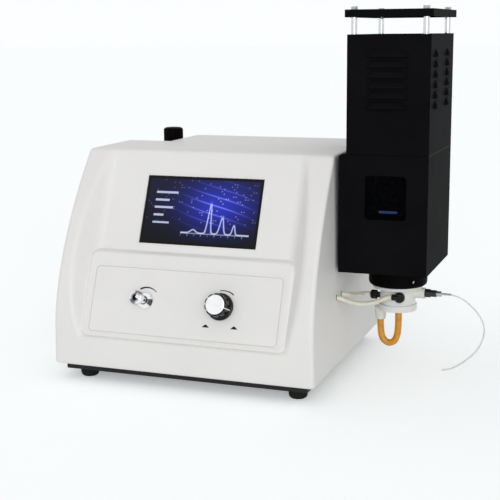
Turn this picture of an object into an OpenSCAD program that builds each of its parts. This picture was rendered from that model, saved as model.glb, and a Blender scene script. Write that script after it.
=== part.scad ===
// Bench flame photometer: white moulded case, side-mounted burner tower, spray chamber and gas controls.
// Millimetres. Modules are drawn in the machine's own axes: X across the case from its middle,
// Y back from the front bottom edge, Z up from the bench; place() then moves all to the row origin.

/* [Case] */
// Width of the white case across its bottom edge
case_w = 353; // [340:1:400]
// Depth of the case from the front bottom edge to the back edge
case_d = 320; // [312:1:380]
// Height of the case's top above the bench
case_top = 291; // [285:1:300]
// Height of the case's bottom edge above the bench
case_lift = 20.5; // [19:0.5:26]
// How far each side leans in from bottom to top
side_lean = 6; // [2:0.5:10]
// Wall of the moulded case
wall = 3; // [2:0.5:4]
// Height up to which the cheeks rise straight
belly_z = 68; // [60:1:75]
// How far back the cheeks have curved when they reach the top
cheek_lean = 106; // [98:1:112]
// Power of the cheeks' curve
cheek_power = 1.75; // [1.5:0.05:2]
// Width of the open bay in the rear left corner
bay_w = 73; // [66:1:90]
// Front to back length of the open bay
bay_d = 98; // [92:1:110]
// Width of the lip turned in along the bottom edge
lip_w = 24; // [21:1:30]

/* [Front] */
// Lean of the display face from upright, degrees
face_tilt = 23.75; // [22:0.25:25]
// Lean of the control face from upright, degrees
panel_tilt = 22; // [19:0.25:23]
// Half width of the display face's floor
face_half = 133; // [128:1:138]
// Slope of the hollow's side walls, degrees off square
face_draft = 40; // [30:1:45]
// Width of the touch panel's glass
glass_w = 161; // [150:1:170]
// Height of the touch panel's glass
glass_h = 91; // [84:1:94]
// Thickness of the touch panel's glass
glass_t = 2.2; // [1.5:0.1:3]
// Sideways place of the touch panel's middle
glass_x = 2; // [-5:1:10]
// Depth of the glass below the face
glass_drop = 0.8; // [0.3:0.1:1.2]
// Gap around pieces that are let into the case
let_in_gap = 0.3; // [0.2:0.05:0.5]
// Thickness of the display module
module_t = 8; // [6:0.5:12]
// Width of the control plate
plate_w = 254; // [230:1:258]
// Height of the control plate
plate_h = 84; // [78:1:88]
// Thickness of the control plate
plate_t = 1.2; // [0.8:0.1:2]
// Width of the groove around the control plate
groove_w = 0.9; // [0.5:0.1:1.5]
// Half width of the raised block that carries the control plate
block_half = 139.5; // [134:0.5:141]
// Height of the raised block's upper edge above the bench
block_top = 165; // [160:1:168]
// Sideways place of the gas valve
gas_x = 50.5; // [45:0.5:65]
// Sideways place of the fine valve
fine_x = -52; // [-65:0.5:-45]
// Height of both valves above the control plate's middle
valve_up = 1; // [-4:0.5:4]

/* [Knobs] */
// Diameter of the gas knob's skirt
gas_skirt_d = 34.5; // [30:0.5:38]
// Diameter of the gas knob's fluted body
gas_knob_d = 29.5; // [27:0.5:32]
// Height of the gas knob
gas_knob_h = 19.5; // [14:0.5:24]
// Number of flutes around the gas knob
gas_flutes = 10; // [6:1:14]
// Diameter of the gas knob's pale cap
gas_cap_d = 24.5; // [18:0.5:25]
// Diameter of the fine knob's head
fine_head_d = 17.4; // [15:0.2:22]
// Reach of the fine knob in front of the plate
fine_reach = 33; // [26:1:36]
// Diameter of the fine valve's collar
fine_collar_d = 22.5; // [18:0.5:26]
// Height of the fine valve's collar
fine_collar_h = 9; // [6:0.5:12]
// Diameter of the valve spindles
spindle_d = 6; // [5:0.5:7]
// Running clearance of shafts, on the radius
run_gap = 0.05; // [0.02:0.01:0.08]

/* [Base] */
// Thickness of the base tray's sheet
tray_t = 2; // [1.5:0.5:3]
// Height of the base tray's rim
tray_h = 9; // [6:0.5:11]
// Set-back of the base tray from the case's sides
tray_inset = 11.5; // [9:0.5:19]
// Diameter of the rubber feet
foot_d = 24; // [16:1:25]
// Distance of the feet from the tray's edges
foot_edge = 13; // [13:1:20]

/* [Tower] */
// Gap between the case's bottom width and the burner box
tower_gap = 0.9; // [0.6:0.1:3]
// Width of the burner box
box_w = 112; // [104:1:125]
// Front to back depth of the burner box and the chimney
tower_d = 149; // [135:1:165]
// Place of the tower's front behind the case's front bottom edge
tower_y = 101; // [92:1:110]
// Height of the burner box's bottom above the bench
box_z = 144.6; // [140:0.1:150]
// Height of the burner box
box_h = 149.4; // [142:0.1:165]
// Sheet thickness of the tower
sheet = 1.5; // [1:0.25:2]
// Width of the chimney box
chimney_w = 102.5; // [98:0.5:104]
// Height of the chimney box
chimney_h = 144.4; // [138:0.2:170]
// Width of the viewing window
window_w = 52; // [40:1:60]
// Height of the viewing window
window_h = 54.6; // [40:1:60]
// Number of louvres in a column
louvre_n = 6; // [3:1:7]
// Height from one louvre to the next
louvre_pitch = 12.4; // [11:0.1:14]
// Height of a louvre
louvre_h = 9; // [6:0.1:9.5]
// How far a louvre stands out
louvre_out = 4; // [2.5:0.5:5]
// Length of the front and back louvres
louvre_front_l = 52; // [40:1:60]
// Length of the side louvres
louvre_side_l = 34; // [26:1:38]
// Height of the clear space under the rain cap
cap_gap = 20.2; // [16:0.2:30]
// Height of the rain cap's edge
cap_h = 9.2; // [6:0.2:12]
// How far the rain cap overhangs the chimney
cap_over = 2.5; // [1:0.5:6]
// Diameter of the cap's posts
post_d = 7.5; // [5:0.5:8]
// Distance of the posts from the chimney's left and right sides
post_edge = 7.4; // [6:0.1:12]
// Distance of the posts from the chimney's front and back
post_front = 5; // [4.5:0.1:12]

/* [Burner and spray chamber] */
// Diameter of the round collar under the burner box
collar_d = 76; // [70:1:90]
// Height of the collar
collar_h = 27; // [22:0.2:30]
// Outside diameter of the burner's tube
burner_tube_d = 22; // [18:1:26]
// Diameter of the burner's head
burner_head_d = 30; // [26:1:36]
// Height of the burner's top above the bench
burner_top_z = 216; // [205:1:225]
// Diameter of the spray chamber
chamber_d = 46; // [42:1:50]
// Height of the spray chamber's barrel
chamber_h = 21.6; // [20:0.2:30]
// Diameter of the spray chamber's top flange
flange_d = 64; // [58:1:70]
// Thickness of the spray chamber's top flange
flange_t = 4; // [3:0.5:8]
// Diameter of the spray chamber's foot
foot_plate_d = 50; // [48:1:60]
// Thickness of the spray chamber's foot
foot_plate_t = 8; // [7.5:0.5:11]
// Outside diameter of the amber drain tube
drain_d = 9; // [7:0.5:10]
// Outside diameter of the gas and air hoses
hose_d = 6; // [4:0.5:7]
// Outside diameter of the sample capillary
capillary_d = 2; // [1.2:0.1:2.4]
// Length of the metal needle
needle_l = 19; // [12:0.5:30]

/* [Rear] */
// Height of the clear bowl under the regulator
bowl_h = 62; // [45:1:70]
// Side of the regulator's square body
regulator_w = 40; // [36:1:42]
// Diameter of the regulator's knob
regulator_knob_d = 28.5; // [26:0.5:36]
// Height of the regulator knob's top above the bench
regulator_top = 305; // [300:1:315]
// Diameter of the pressure gauge
gauge_d = 40; // [34:1:44]
// Diameter of the inlet barbs
barb_d = 8; // [6:0.5:10]
// Length of the inlet barbs
barb_l = 18; // [14:1:24]

/* [Hidden] */

$fn = 48;
eps = 0.01;
far = 400;
seat_gap = 0.3;

// ---- Case outline ----
half_w = case_w / 2;
case_h = case_top - case_lift;
bay_x = -half_w + bay_w;
bay_y = case_d - bay_d;
cheek_steps = 20;

function cheek_y(z) =
    z <= belly_z ? 0 : cheek_lean * pow((z - belly_z) / (case_top - belly_z), cheek_power);
function cheek_slope(z) =
    z <= belly_z ? 0
    : cheek_lean * cheek_power / (case_top - belly_z)
      * pow((z - belly_z) / (case_top - belly_z), cheek_power - 1);
function half_at(z) = half_w - side_lean * (z - case_lift) / case_h;

// ---- Display face: a plane through this point, leaning back by face_tilt ----
face_y = 76.7;
face_z = 217.4;
face_end = 59;
function face_at(z) = face_y + tan(face_tilt) * (z - face_z);

// ---- Control face, and the block that carries it ----
panel_y = 19.4;
panel_z = 107.5;
panel_wall = wall + plate_t;
function panel_at(z) = panel_y + tan(panel_tilt) * (z - panel_z);
block_corner = 10;
block_bottom = face_end + 2;
plate_corner = 5;

// ---- Valves, along the control face's normal ----
knob_gap = 2.4;
bushing_d = 11;
bushing_reach = 2;
gas_body_d = 28;
gas_body_l = 36;
fine_body_d = 22;
fine_body_l = 40;
spindle_in = 22;
gas_cap_t = 1.2;
gas_cap_drop = 0.4;
flute_d = 6;
fine_head_l = 9.5;
fine_neck_d = 10;

// ---- Base ----
tray_z = case_lift - tray_h;
tray_x = half_w - tray_inset;
foot_in = 8;
foot_shift = 4.5;
tray_front = 12;
tray_back = case_d - 4;
deck = tray_z + tray_t;
foot_front_y = tray_front + foot_edge + 2;
foot_back_y = tray_back - foot_edge;

// ---- Rear panel ----
panel_sheet = 2;
back_y = tray_back + panel_sheet;
rear_top = case_top - wall - let_in_gap;
rear_hole_d = 3.4;
screw_d = 3;
screw_head_d = 6;
screw_head_h = 1.8;
rear_screw_z = [40, 150, 262];
rear_left_x = bay_x + 14;
rear_right_x = half_at(case_top) - wall - 12;
vent_n = 9;
vent_pitch = 11;
vent_w = 4;
vent_l = 70;
vent_x = 30;
vent_z = 172;

power_x = half_w - 56.5;
power_z = 86;
power_w = 28;
power_h = 50;
power_in = 26;
socket_w = 24;
socket_h = 16.5;
socket_depth = 17;
socket_up = 10;
flange_rim = 3;
flange_out = 2.5;
fuse_w = 22;
fuse_h = 11;
fuse_in = 20;
fuse_down = -13;

switch_x = 70;
switch_z = 86;
switch_w = 20;
switch_h = 29;
switch_in = 20;
switch_wall = 1.6;
rocker_pin_d = 2.4;
rocker_pin_l = 1;
rocker_depth = 5;
rocker_rest = 8;

data_x = bay_x + 48.5;
data_z = 86;
data_w = 32;
data_h = 13;
data_in = 14;
data_out = 3;
data_depth = 8;

gas_in_x = 20;
gas_in_z = 70;
barb_base = 5;
barb_hex_d = 15;

// ---- Regulator in the bay ----
reg_x = bay_x - 4 - regulator_w / 2;
reg_y = bay_y + 63;
reg_knob_h = 27;
reg_knob_z = regulator_top - reg_knob_h;
bonnet_d = 34;
bonnet_h = 28;
body_top = reg_knob_z - 1 - bonnet_h;
reg_body_h = 34;
body_z = body_top - reg_body_h;
bowl_d = 34;
bowl_wall = 2.5;
neck_d = 21;
neck_h = 12;
reg_screw_d = 10;
pull = 3;
port_z = body_z + reg_body_h / 2;
gauge_t = 18;
gauge_stem_d = 10;
gauge_stem_l = 5;
gauge_rim = 2.5;
gauge_deep = 7;
pointer_hub_d = 5;
pointer_pin_d = 1.6;

// ---- Tower ----
box_x = half_w + tower_gap;
box_right = box_x + box_w;
box_top = box_z + box_h;
chimney_x = box_right - chimney_w;
chimney_top = box_top + chimney_h;
axis_x = chimney_x + chimney_w / 2;
axis_y = tower_y + tower_d / 2;
front_x = axis_x - 1.8;
window_z = 240.7;
window_corner = 5;
box_chamfer_w = 4;
box_chamfer_h = 2.5;
frame_rim = 4;
frame_deep = 6;
glass_pane_t = 2;
optic_z = 240;
optic_d = 30;
flue_edge = 15;
louvre_top = 17.8;
louvre_side_gap = 37.5;
louvre_slope = 7;
cap_z = chimney_top + cap_gap;
cap_top = cap_z + cap_h;
nut_h = 3.6;
nut_d = 8.4;
stud_d = 4;

// ---- Spray chamber ----
collar_z = box_z - collar_h;
collar_bore = burner_tube_d + 14;
flange_z = collar_z - flange_t;
barrel_z = flange_z - chamber_h;
foot_plate_z = barrel_z - foot_plate_t;
chamber_wall = 3.5;
neb_z = flange_z - 6;
neb_d = 15;
neb_end = axis_x + 36;
neb_nut_l = 15;
neb_nut_d = 11;
needle_hub_d = 7.2;
needle_hub_l = 6.5;
needle_tip_d = 2.8;
needle_d = 4.6;
needle_x = neb_end + neb_nut_l;
needle_end = needle_x + needle_l;
fit_d = 12;
hose_z = 101;
spigot_x = axis_x - 22.5;
spigot_d = 13;
spigot_top_d = 17;
spigot_l = 15;
drain_x = axis_x + 1.5;
drain_in = 6;
outlet_y = [106, 129];
outlet_z = 109.5;
outlet_d = 8;
outlet_out = -1.4;
inner_pipe_d = 6;
hose_x = half_w + outlet_out;
fitting_x = half_at(outlet_z) - wall - 4;
inlet_x = fitting_x - seat_gap;

// ---- Row origin: middle of the object's footprint, on the bench ----
front_reach = fine_reach * cos(panel_tilt) + (fine_head_d / 2 - valve_up) * sin(panel_tilt) - panel_y;
rear_reach = back_y + barb_base + barb_l;
frame_x = (needle_end - half_w) / 2;
frame_y = (rear_reach - front_reach) / 2;

module place() {
    translate([-frame_x, -frame_y, 0]) children();
}

// ---- Helpers ----
// Extrudes a (Y, Z) outline from x0 to x1.
module across(x0, x1) {
    translate([x0, 0, 0]) rotate([90, 0, 90]) linear_extrude(x1 - x0) children();
}

// Extrudes an (X, Z) outline from y0 to y1.
module backward(y0, y1) {
    translate([0, y1, 0]) rotate([90, 0, 0]) linear_extrude(y1 - y0) children();
}

// Axes on the control face: X right, Y up the face, Z straight out of it.
module on_panel(x = 0, up = 0) {
    translate([0, panel_y, panel_z]) rotate([90 - panel_tilt, 0, 0]) translate([x, up, 0]) children();
}

// Axes on the display face, from the middle of the touch panel.
module on_face() {
    translate([0, face_y, face_z]) rotate([90 - face_tilt, 0, 0]) children();
}

module rounded(w, h, r) {
    union() {
        square([w - 2 * r, h], center = true);
        square([w, h - 2 * r], center = true);
        for (sx = [-1, 1], sy = [-1, 1])
            translate([sx * (w / 2 - r), sy * (h / 2 - r)]) circle(r);
    }
}

module box(x0, x1, y0, y1, z0, z1) {
    translate([x0, y0, z0]) cube([x1 - x0, y1 - y0, z1 - z0]);
}

// Cylinders along X and along Y.
module rod_x(x0, x1, y, z, d) {
    translate([x0, y, z]) rotate([0, 90, 0]) cylinder(h = x1 - x0, d = d);
}

module rod_y(x, y0, y1, z, d) {
    translate([x, y1, z]) rotate([90, 0, 0]) cylinder(h = y1 - y0, d = d);
}

// ---- Swept tubes: a smooth line through the chosen points, then a ring of corners at each point ----
function unit(v) = v / norm(v);
function spline_at(a, b, c, d, t) =
    0.5 * (2 * b + (c - a) * t + (2 * a - 5 * b + 4 * c - d) * t * t
           + (3 * b - a - 3 * c + d) * t * t * t);
function smooth(p, n) = [
    for (i = [0 : len(p) - 2], k = [0 : n - 1])
        spline_at(p[max(i - 1, 0)], p[i], p[i + 1], p[min(i + 2, len(p) - 1)], k / n),
    p[len(p) - 1]];
function heading(p, i) = unit(p[min(i + 1, len(p) - 1)] - p[max(i - 1, 0)]);
function ring(c, t, side, r, n) =
    let (a = unit(cross(t, side)), b = cross(t, a))
    [for (k = [0 : n - 1]) c + r * (cos(360 * k / n) * a + sin(360 * k / n) * b)];

module tube(path, d, side, sides = 12) {
    last = len(path) - 1;
    rings = [for (i = [0 : last]) each ring(path[i], heading(path, i), side, d / 2, sides)];
    walls = [for (i = [0 : last - 1], k = [0 : sides - 1])
        let (a = i * sides + k, b = i * sides + (k + 1) % sides)
        [a, b, b + sides, a + sides]];
    start = [for (k = [sides - 1 : -1 : 0]) k];
    end = [for (k = [0 : sides - 1]) last * sides + k];
    polyhedron(concat(rings), concat(walls, [start, end]));
}

// ---- Case ----
// The case's outer form, shrunk by inset on its front, sides and top.
module case_form(inset, back) {
    top = case_top - inset;
    low = inset > 0 ? case_lift - 5 : case_lift;
    step = (top - belly_z) / cheek_steps;
    slope_in = [for (i = [0 : cheek_steps]) let (z = belly_z + i * step)
        [cheek_y(z) + inset * sqrt(1 + pow(cheek_slope(z), 2)), z]];
    intersection() {
        across(-far, far)
            polygon(concat([[inset, low]], slope_in, [[back, top], [back, low]]));
        backward(-far, far)
            polygon([[inset - half_at(low), low], [half_at(low) - inset, low],
                     [half_at(top) - inset, top], [inset - half_at(top), top]]);
    }
}

// The hollow between the cheeks, down to the display face; grow moves its floor and walls into the case.
module front_hollow(grow) {
    lip = 90;
    low = (face_z - face_end) / cos(face_tilt);
    foot_half = face_half + grow * (1 / cos(face_draft) - tan(face_draft));
    on_face() rotate([90, 0, 0]) translate([0, 0, -150])
        linear_extrude(150 + low + grow)
            polygon([[-foot_half, -grow], [foot_half, -grow],
                     [foot_half + (lip + grow) * tan(face_draft), lip],
                     [-foot_half - (lip + grow) * tan(face_draft), lip]]);
}

// The raised block under the control plate, shrunk by inset, its face set back by sink.
// It runs straight back, so that the ledge over it is level.
module panel_block(inset, sink) {
    low = block_bottom + inset;
    high = block_top - inset;
    half = block_half - inset;
    r = max(block_corner - inset, 1);
    back = 70;
    intersection() {
        backward(-far, back) union() {
            translate([-half, low]) square([2 * half, high - r - low]);
            translate([r - half, low]) square([2 * (half - r), high - low]);
            for (sx = [-1, 1]) translate([sx * (half - r), high - r]) circle(r);
        }
        on_panel() translate([-far, -far, -far - sink]) cube([2 * far, 2 * far, far]);
    }
}

module case_shell() {
    lip_h = wall;
    color([0.9, 0.9, 0.88]) place() difference() {
        union() {
            difference() {
                case_form(0, case_d);
                case_form(wall, case_d + far);
                front_hollow(0);
            }
            // wall behind the hollow
            intersection() {
                case_form(0, case_d);
                difference() {
                    front_hollow(wall);
                    front_hollow(0);
                }
            }
            // block that carries the control plate
            intersection() {
                front_hollow(wall / 2);
                difference() {
                    panel_block(0, 0);
                    translate([0, 1, 0]) panel_block(wall, panel_wall - cos(panel_tilt));
                }
            }
            // lip along the bottom edge
            difference() {
                intersection() {
                    case_form(0, case_d);
                    box(-far, far, -far, far, case_lift, case_lift + lip_h);
                }
                box(-half_w + lip_w, half_w - lip_w, lip_w, case_d + 1, case_lift - 1, case_top);
                box(-far, far, tray_back - seat_gap, case_d + 1, case_lift - 1, case_lift + lip_h + 1);
            }
            // lip behind the rear panel's right edge and top
            difference() {
                intersection() {
                    case_form(0, case_d);
                    box(-far, far, tray_back - wall, tray_back, case_lift + lip_h, case_top);
                }
                box(-far, half_at(case_top) - lip_w, 0, case_d + 1, case_lift, case_top - lip_w);
            }
        }
        // opening from inside the case into the block
        intersection() {
            panel_block(wall, panel_wall);
            front_hollow(wall + 2);
        }
        // open bay at the rear left, and clearance for its panel
        box(-far, bay_x, bay_y, far, case_lift - 1, far);
        box(-half_w + wall, bay_x + panel_sheet + 1, bay_y - panel_sheet - 1, far,
            case_lift - 1, case_top - wall);
        for (z = rear_screw_z)
            rod_y(rear_right_x, tray_back - wall - 1, tray_back + 1, z, screw_d + 2 * run_gap);
        // touch panel and control plate
        on_face() translate([glass_x, 0, -wall - 30]) linear_extrude(60)
            square([glass_w + 2 * let_in_gap, glass_h + 2 * let_in_gap], center = true);
        on_panel() translate([0, 0, -plate_t]) linear_extrude(20)
            rounded(plate_w + 2 * groove_w, plate_h + 2 * groove_w, plate_corner + groove_w);
        for (x = [fine_x, gas_x])
            on_panel(x, valve_up) translate([0, 0, -20])
                cylinder(h = 40, d = bushing_d + 2 * let_in_gap);
        // light path to the tower, and the two hose outlets
        rod_x(half_w - 20, half_w + 1, axis_y, optic_z, optic_d);
        for (y = outlet_y)
            rod_x(half_w - 20, half_w + 1, y, outlet_z, outlet_d + 2 * let_in_gap);
    }
}

module rear_panel() {
    color([0.85, 0.85, 0.84]) place() difference() {
        intersection() {
            case_form(wall + let_in_gap, far);
            box(bay_x + panel_sheet + 1, far, tray_back, back_y, case_lift, rear_top);
        }
        for (i = [0 : vent_n - 1])
            box(vent_x - vent_l / 2, vent_x + vent_l / 2, tray_back - 1, back_y + 1,
                vent_z + i * vent_pitch, vent_z + i * vent_pitch + vent_w);
        for (x = [rear_left_x, rear_right_x], z = rear_screw_z)
            rod_y(x, tray_back - 1, back_y + 1, z, rear_hole_d);
        backward(tray_back - 1, back_y + 1) {
            translate([power_x, power_z])
                square([power_w + 2 * let_in_gap, power_h + 2 * let_in_gap], center = true);
            translate([switch_x, switch_z])
                square([switch_w + 2 * let_in_gap, switch_h + 2 * let_in_gap], center = true);
            translate([data_x, data_z])
                square([data_w + 2 * let_in_gap, data_h + 2 * let_in_gap], center = true);
        }
        rod_y(gas_in_x, tray_back - 1, back_y + 1, gas_in_z, barb_d + 2 * let_in_gap);
    }
}

module bay_panel() {
    side_x = bay_x + 0.5;
    wall_y = bay_y - 0.5;
    inner_x = -tray_x + tray_t + seat_gap;
    flange_x = side_x + 22;
    color([0.85, 0.85, 0.84]) place() difference() {
        union() {
            intersection() {
                case_form(wall + let_in_gap, far);
                union() {
                    box(-far, side_x + panel_sheet, wall_y - panel_sheet, wall_y, case_lift, rear_top);
                    box(side_x, side_x + panel_sheet, wall_y - eps, tray_back, case_lift, rear_top);
                    box(side_x, flange_x, tray_back - panel_sheet, tray_back, case_lift,
                        case_top - lip_w - seat_gap);
                }
            }
            // feet of both walls, on the tray
            box(inner_x, side_x + panel_sheet, wall_y - panel_sheet, wall_y, deck, case_lift + eps);
            box(side_x, side_x + panel_sheet, wall_y - eps, tray_back - tray_t - seat_gap,
                deck, case_lift + eps);
            // bracket that carries the regulator
            box(reg_x + regulator_w / 2, side_x + eps, reg_y - 12, reg_y + 12,
                port_z - 12, port_z + 12);
        }
        rod_x(reg_x, bay_x + 20, reg_y, port_z, inner_pipe_d + 1);
        for (z = rear_screw_z)
            rod_y(rear_left_x, tray_back - 5, tray_back + 1, z, screw_d + 2 * run_gap);
    }
}

module screws() {
    color("silver") place() {
        rear_screws();
        collar_screws();
    }
}

module rear_screws() {
    for (x = [rear_left_x, rear_right_x], z = rear_screw_z) {
        rod_y(x, back_y, back_y + screw_head_h, z, screw_head_d);
        rod_y(x, tray_back - 5, back_y + eps, z, screw_d);
    }
}

module base_tray() {
    color([0.1, 0.1, 0.1]) place() difference() {
        box(-tray_x, tray_x, tray_front, tray_back, tray_z, case_lift);
        box(-tray_x + tray_t, tray_x - tray_t, tray_front + tray_t, tray_back - tray_t, deck, case_top);
    }
}

module feet() {
    r = foot_d / 2;
    color([0.08, 0.08, 0.08]) place()
        for (sx = [-1, 1], y = [foot_front_y, foot_back_y])
            translate([foot_shift + sx * (tray_x - foot_edge - foot_in), y, 0]) rotate_extrude()
                polygon([[0, 0], [r - 5, 0], [r - 2.8, 0.6], [r - 1.2, 1.9], [r - 0.3, 4], [r, 6.5],
                         [r, tray_z], [0, tray_z]]);
}

// ---- Display ----
module display_glass() {
    color([0.05, 0.05, 0.12]) place() on_face()
        translate([glass_x, 0, -glass_drop - glass_t]) linear_extrude(glass_t)
            square([glass_w, glass_h], center = true);
}

module display_module() {
    edge = 4;
    color("dimgray") place() on_face()
        translate([glass_x, 0, -wall - module_t]) linear_extrude(module_t)
            square([glass_w + 2 * edge, glass_h + 2 * edge], center = true);
}

// ---- Controls ----
module control_plate() {
    color([0.9, 0.9, 0.88]) place() on_panel() difference() {
        translate([0, 0, -plate_t]) linear_extrude(plate_t) rounded(plate_w, plate_h, plate_corner);
        for (x = [fine_x, gas_x])
            translate([x, valve_up, -10]) cylinder(h = 20, d = bushing_d + 2 * let_in_gap);
    }
}

// A valve behind the control face: a body against the case's inside and a bushing through it.
module valve_body(x, d, l) {
    on_panel(x, valve_up) difference() {
        union() {
            translate([0, 0, -panel_wall - l]) cylinder(h = l, d = d);
            translate([0, 0, -panel_wall - eps]) cylinder(h = panel_wall + bushing_reach, d = bushing_d);
        }
        translate([0, 0, -panel_wall - spindle_in - 1])
            cylinder(h = spindle_in + panel_wall + 10, d = spindle_d + 2 * run_gap);
    }
}

module gas_valve_body() {
    color("goldenrod") place() valve_body(gas_x, gas_body_d, gas_body_l);
}

module fine_valve_body() {
    color("goldenrod") place() valve_body(fine_x, fine_body_d, fine_body_l);
}

module gas_spindle() {
    top = knob_gap + gas_knob_h - 4;
    color("silver") place() on_panel(gas_x, valve_up)
        translate([0, 0, -panel_wall - spindle_in]) cylinder(h = spindle_in + panel_wall + top, d = spindle_d);
}

module gas_knob() {
    skirt = 3;
    bore = gas_knob_h - 4 + run_gap;
    flute_at = gas_knob_d / 2 + flute_d * 0.26;
    color([0.06, 0.06, 0.06]) place() on_panel(gas_x, valve_up) translate([0, 0, knob_gap]) difference() {
        union() {
            cylinder(h = skirt, d = gas_skirt_d);
            translate([0, 0, skirt - eps]) linear_extrude(gas_knob_h - skirt + eps) difference() {
                circle(d = gas_knob_d);
                for (i = [0 : gas_flutes - 1])
                    rotate((i + 0.5) * 360 / gas_flutes) translate([flute_at, 0]) circle(d = flute_d);
            }
        }
        translate([0, 0, -1]) cylinder(h = bore + 1, d = spindle_d + 2 * run_gap);
        translate([0, 0, gas_knob_h - gas_cap_drop]) cylinder(h = 2, d = gas_cap_d + 2 * run_gap);
    }
}

module gas_knob_cap() {
    color([0.9, 0.9, 0.9]) place() on_panel(gas_x, valve_up)
        translate([0, 0, knob_gap + gas_knob_h - gas_cap_drop]) cylinder(h = gas_cap_t, d = gas_cap_d);
}

module fine_collar() {
    r = fine_collar_d / 2;
    bore = fine_neck_d / 2 + 0.3;
    wide = bushing_d / 2 + run_gap;
    color("silver") place() on_panel(fine_x, valve_up) rotate_extrude()
        polygon([[wide, 0], [r, 0], [r, fine_collar_h * 0.35], [r - 0.9, fine_collar_h * 0.62],
                 [r - 2.6, fine_collar_h * 0.86], [r - 4.6, fine_collar_h], [bore, fine_collar_h],
                 [bore, bushing_reach + seat_gap], [wide, bushing_reach + seat_gap]]);
}

module fine_knob() {
    r = fine_head_d / 2;
    neck_z = bushing_reach + seat_gap;
    head_z = fine_reach - fine_head_l;
    bore = spindle_d / 2 + run_gap;
    bore_top = fine_reach - 6;
    color("silver") place() on_panel(fine_x, valve_up) rotate_extrude()
        polygon([[bore, neck_z], [fine_neck_d / 2, neck_z], [fine_neck_d / 2, head_z - 3],
                 [r - 2, head_z], [r, head_z + 2], [r, fine_reach], [0, fine_reach],
                 [0, bore_top], [bore, bore_top]]);
}

module fine_spindle() {
    color("silver") place() on_panel(fine_x, valve_up)
        translate([0, 0, -panel_wall - spindle_in])
            cylinder(h = spindle_in + panel_wall + fine_reach - 6 - run_gap, d = spindle_d);
}

// ---- Inside the case ----
board_x = -half_w + 26.5;
board_y = 72;
board_w = 140;
board_l = 112;
board_z = deck + 9;
board_t = 1.6;
chips = [[12, 14, 24, 24, 3], [60, 20, 16, 16, 2], [14, 64, 34, 12, 10], [70, 56, 20, 12, 4],
         [104, 20, 18, 60, 12], [60, 86, 44, 10, 9]];

module main_board() {
    color([0.1, 0.4, 0.2]) place() union() {
        box(board_x, board_x + board_w, board_y, board_y + board_l, board_z, board_z + board_t);
        for (x = [6, board_w - 6], y = [6, board_l - 6])
            translate([board_x + x, board_y + y, deck]) cylinder(h = board_z - deck + eps, d = 6);
        for (c = chips)
            box(board_x + c[0], board_x + c[0] + c[2], board_y + c[1], board_y + c[1] + c[3],
                board_z + board_t - eps, board_z + board_t + c[4]);
    }
}

supply_x = bay_x + 11.5;
supply_y = tray_back - 90;
supply_w = 104;
supply_l = 62;
supply_h = 40;

module power_supply() {
    color("lightgray") place() difference() {
        box(supply_x, supply_x + supply_w, supply_y, supply_y + supply_l, deck, deck + supply_h);
        for (i = [0 : 7])
            box(supply_x + 14 + i * 10, supply_x + 18 + i * 10, supply_y + 12, supply_y + supply_l - 12,
                deck + supply_h - 1.5, deck + supply_h + 1);
    }
}

stand_x = half_w - 92.5;
stand_w = half_w - lip_w - 2 - stand_x;
stand_y = axis_y - 38;
stand_l = 76;
block_x = stand_x + 4;
block_w = 62;
block_l = 64;
block_h = 56;
block_z = optic_z - block_h / 2;
lens_tube_d = 26;
lens_d = 20;
lens_t = 5;
tube_end = half_at(optic_z) - wall - 1;

module optics_stand() {
    color("lightgray") place() difference() {
        box(stand_x, stand_x + stand_w, stand_y, stand_y + stand_l, deck, block_z);
        box(stand_x - 1, stand_x + stand_w + 1, stand_y + panel_sheet, stand_y + stand_l - panel_sheet,
            deck - 1, block_z - panel_sheet);
    }
}

// Beam block: the lens tube looks into the tower; a second channel leaves it square to the first.
module optics_block() {
    side_y = axis_y - block_l / 2;
    color([0.12, 0.12, 0.12]) place() difference() {
        union() {
            box(block_x, block_x + block_w, side_y, side_y + block_l, block_z, block_z + block_h);
            rod_x(block_x + block_w - eps, tube_end, axis_y, optic_z, lens_tube_d);
        }
        rod_x(block_x + 10, tube_end + 1, axis_y, optic_z, lens_d + 2 * run_gap);
        rod_x(block_x - 1, block_x + 12, axis_y, optic_z, 14);
        rod_y(block_x + 30, side_y - 1, axis_y, optic_z, 14);
    }
}

module lens_and_filters() {
    lens_x = tube_end - 12;
    side_y = axis_y - block_l / 2;
    d = 14 - 2 * run_gap;
    color([0.8, 0.9, 0.95, 0.5]) place() {
        rod_x(lens_x, lens_x + lens_t, axis_y, optic_z, lens_d);
        rod_x(block_x + 5, block_x + 8, axis_y, optic_z, d);
        rod_y(block_x + 30, side_y + 5, side_y + 8, optic_z, d);
    }
}

module detectors() {
    side_y = axis_y - block_l / 2;
    color("gray") place() {
        rod_x(block_x - 8, block_x, axis_y, optic_z, 22);
        rod_y(block_x + 30, side_y - 8, side_y, optic_z, 22);
    }
}

// Inside pipes: gas inlet to gas valve, gas valve to fine valve, fine valve and regulator to the outlets.
function behind_panel(x, d) =
    [x, panel_y + d * cos(panel_tilt) + valve_up * sin(panel_tilt),
     panel_z - d * sin(panel_tilt) + valve_up * cos(panel_tilt)];
gas_back = panel_wall + gas_body_l + seat_gap;
fine_back = panel_wall + fine_body_l + seat_gap;
link_at = behind_panel(0, panel_wall + 22);
gas_in_path = [[gas_in_x, tray_back - 1 - seat_gap, gas_in_z],
               [gas_in_x, tray_back - 20, gas_in_z], [gas_in_x + 1, tray_back - 40, gas_in_z - 2],
               [26, 200, 60], [34, 130, 62], [46, 92, 78],
               behind_panel(gas_x, gas_back + 10), behind_panel(gas_x, gas_back)];
gas_link_path = [for (x = [gas_x - gas_body_d / 2 - seat_gap : -10 : fine_x + fine_body_d / 2 + 8])
                     [x, link_at[1], link_at[2]],
                 [fine_x + fine_body_d / 2 + seat_gap, link_at[1], link_at[2]]];
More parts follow.
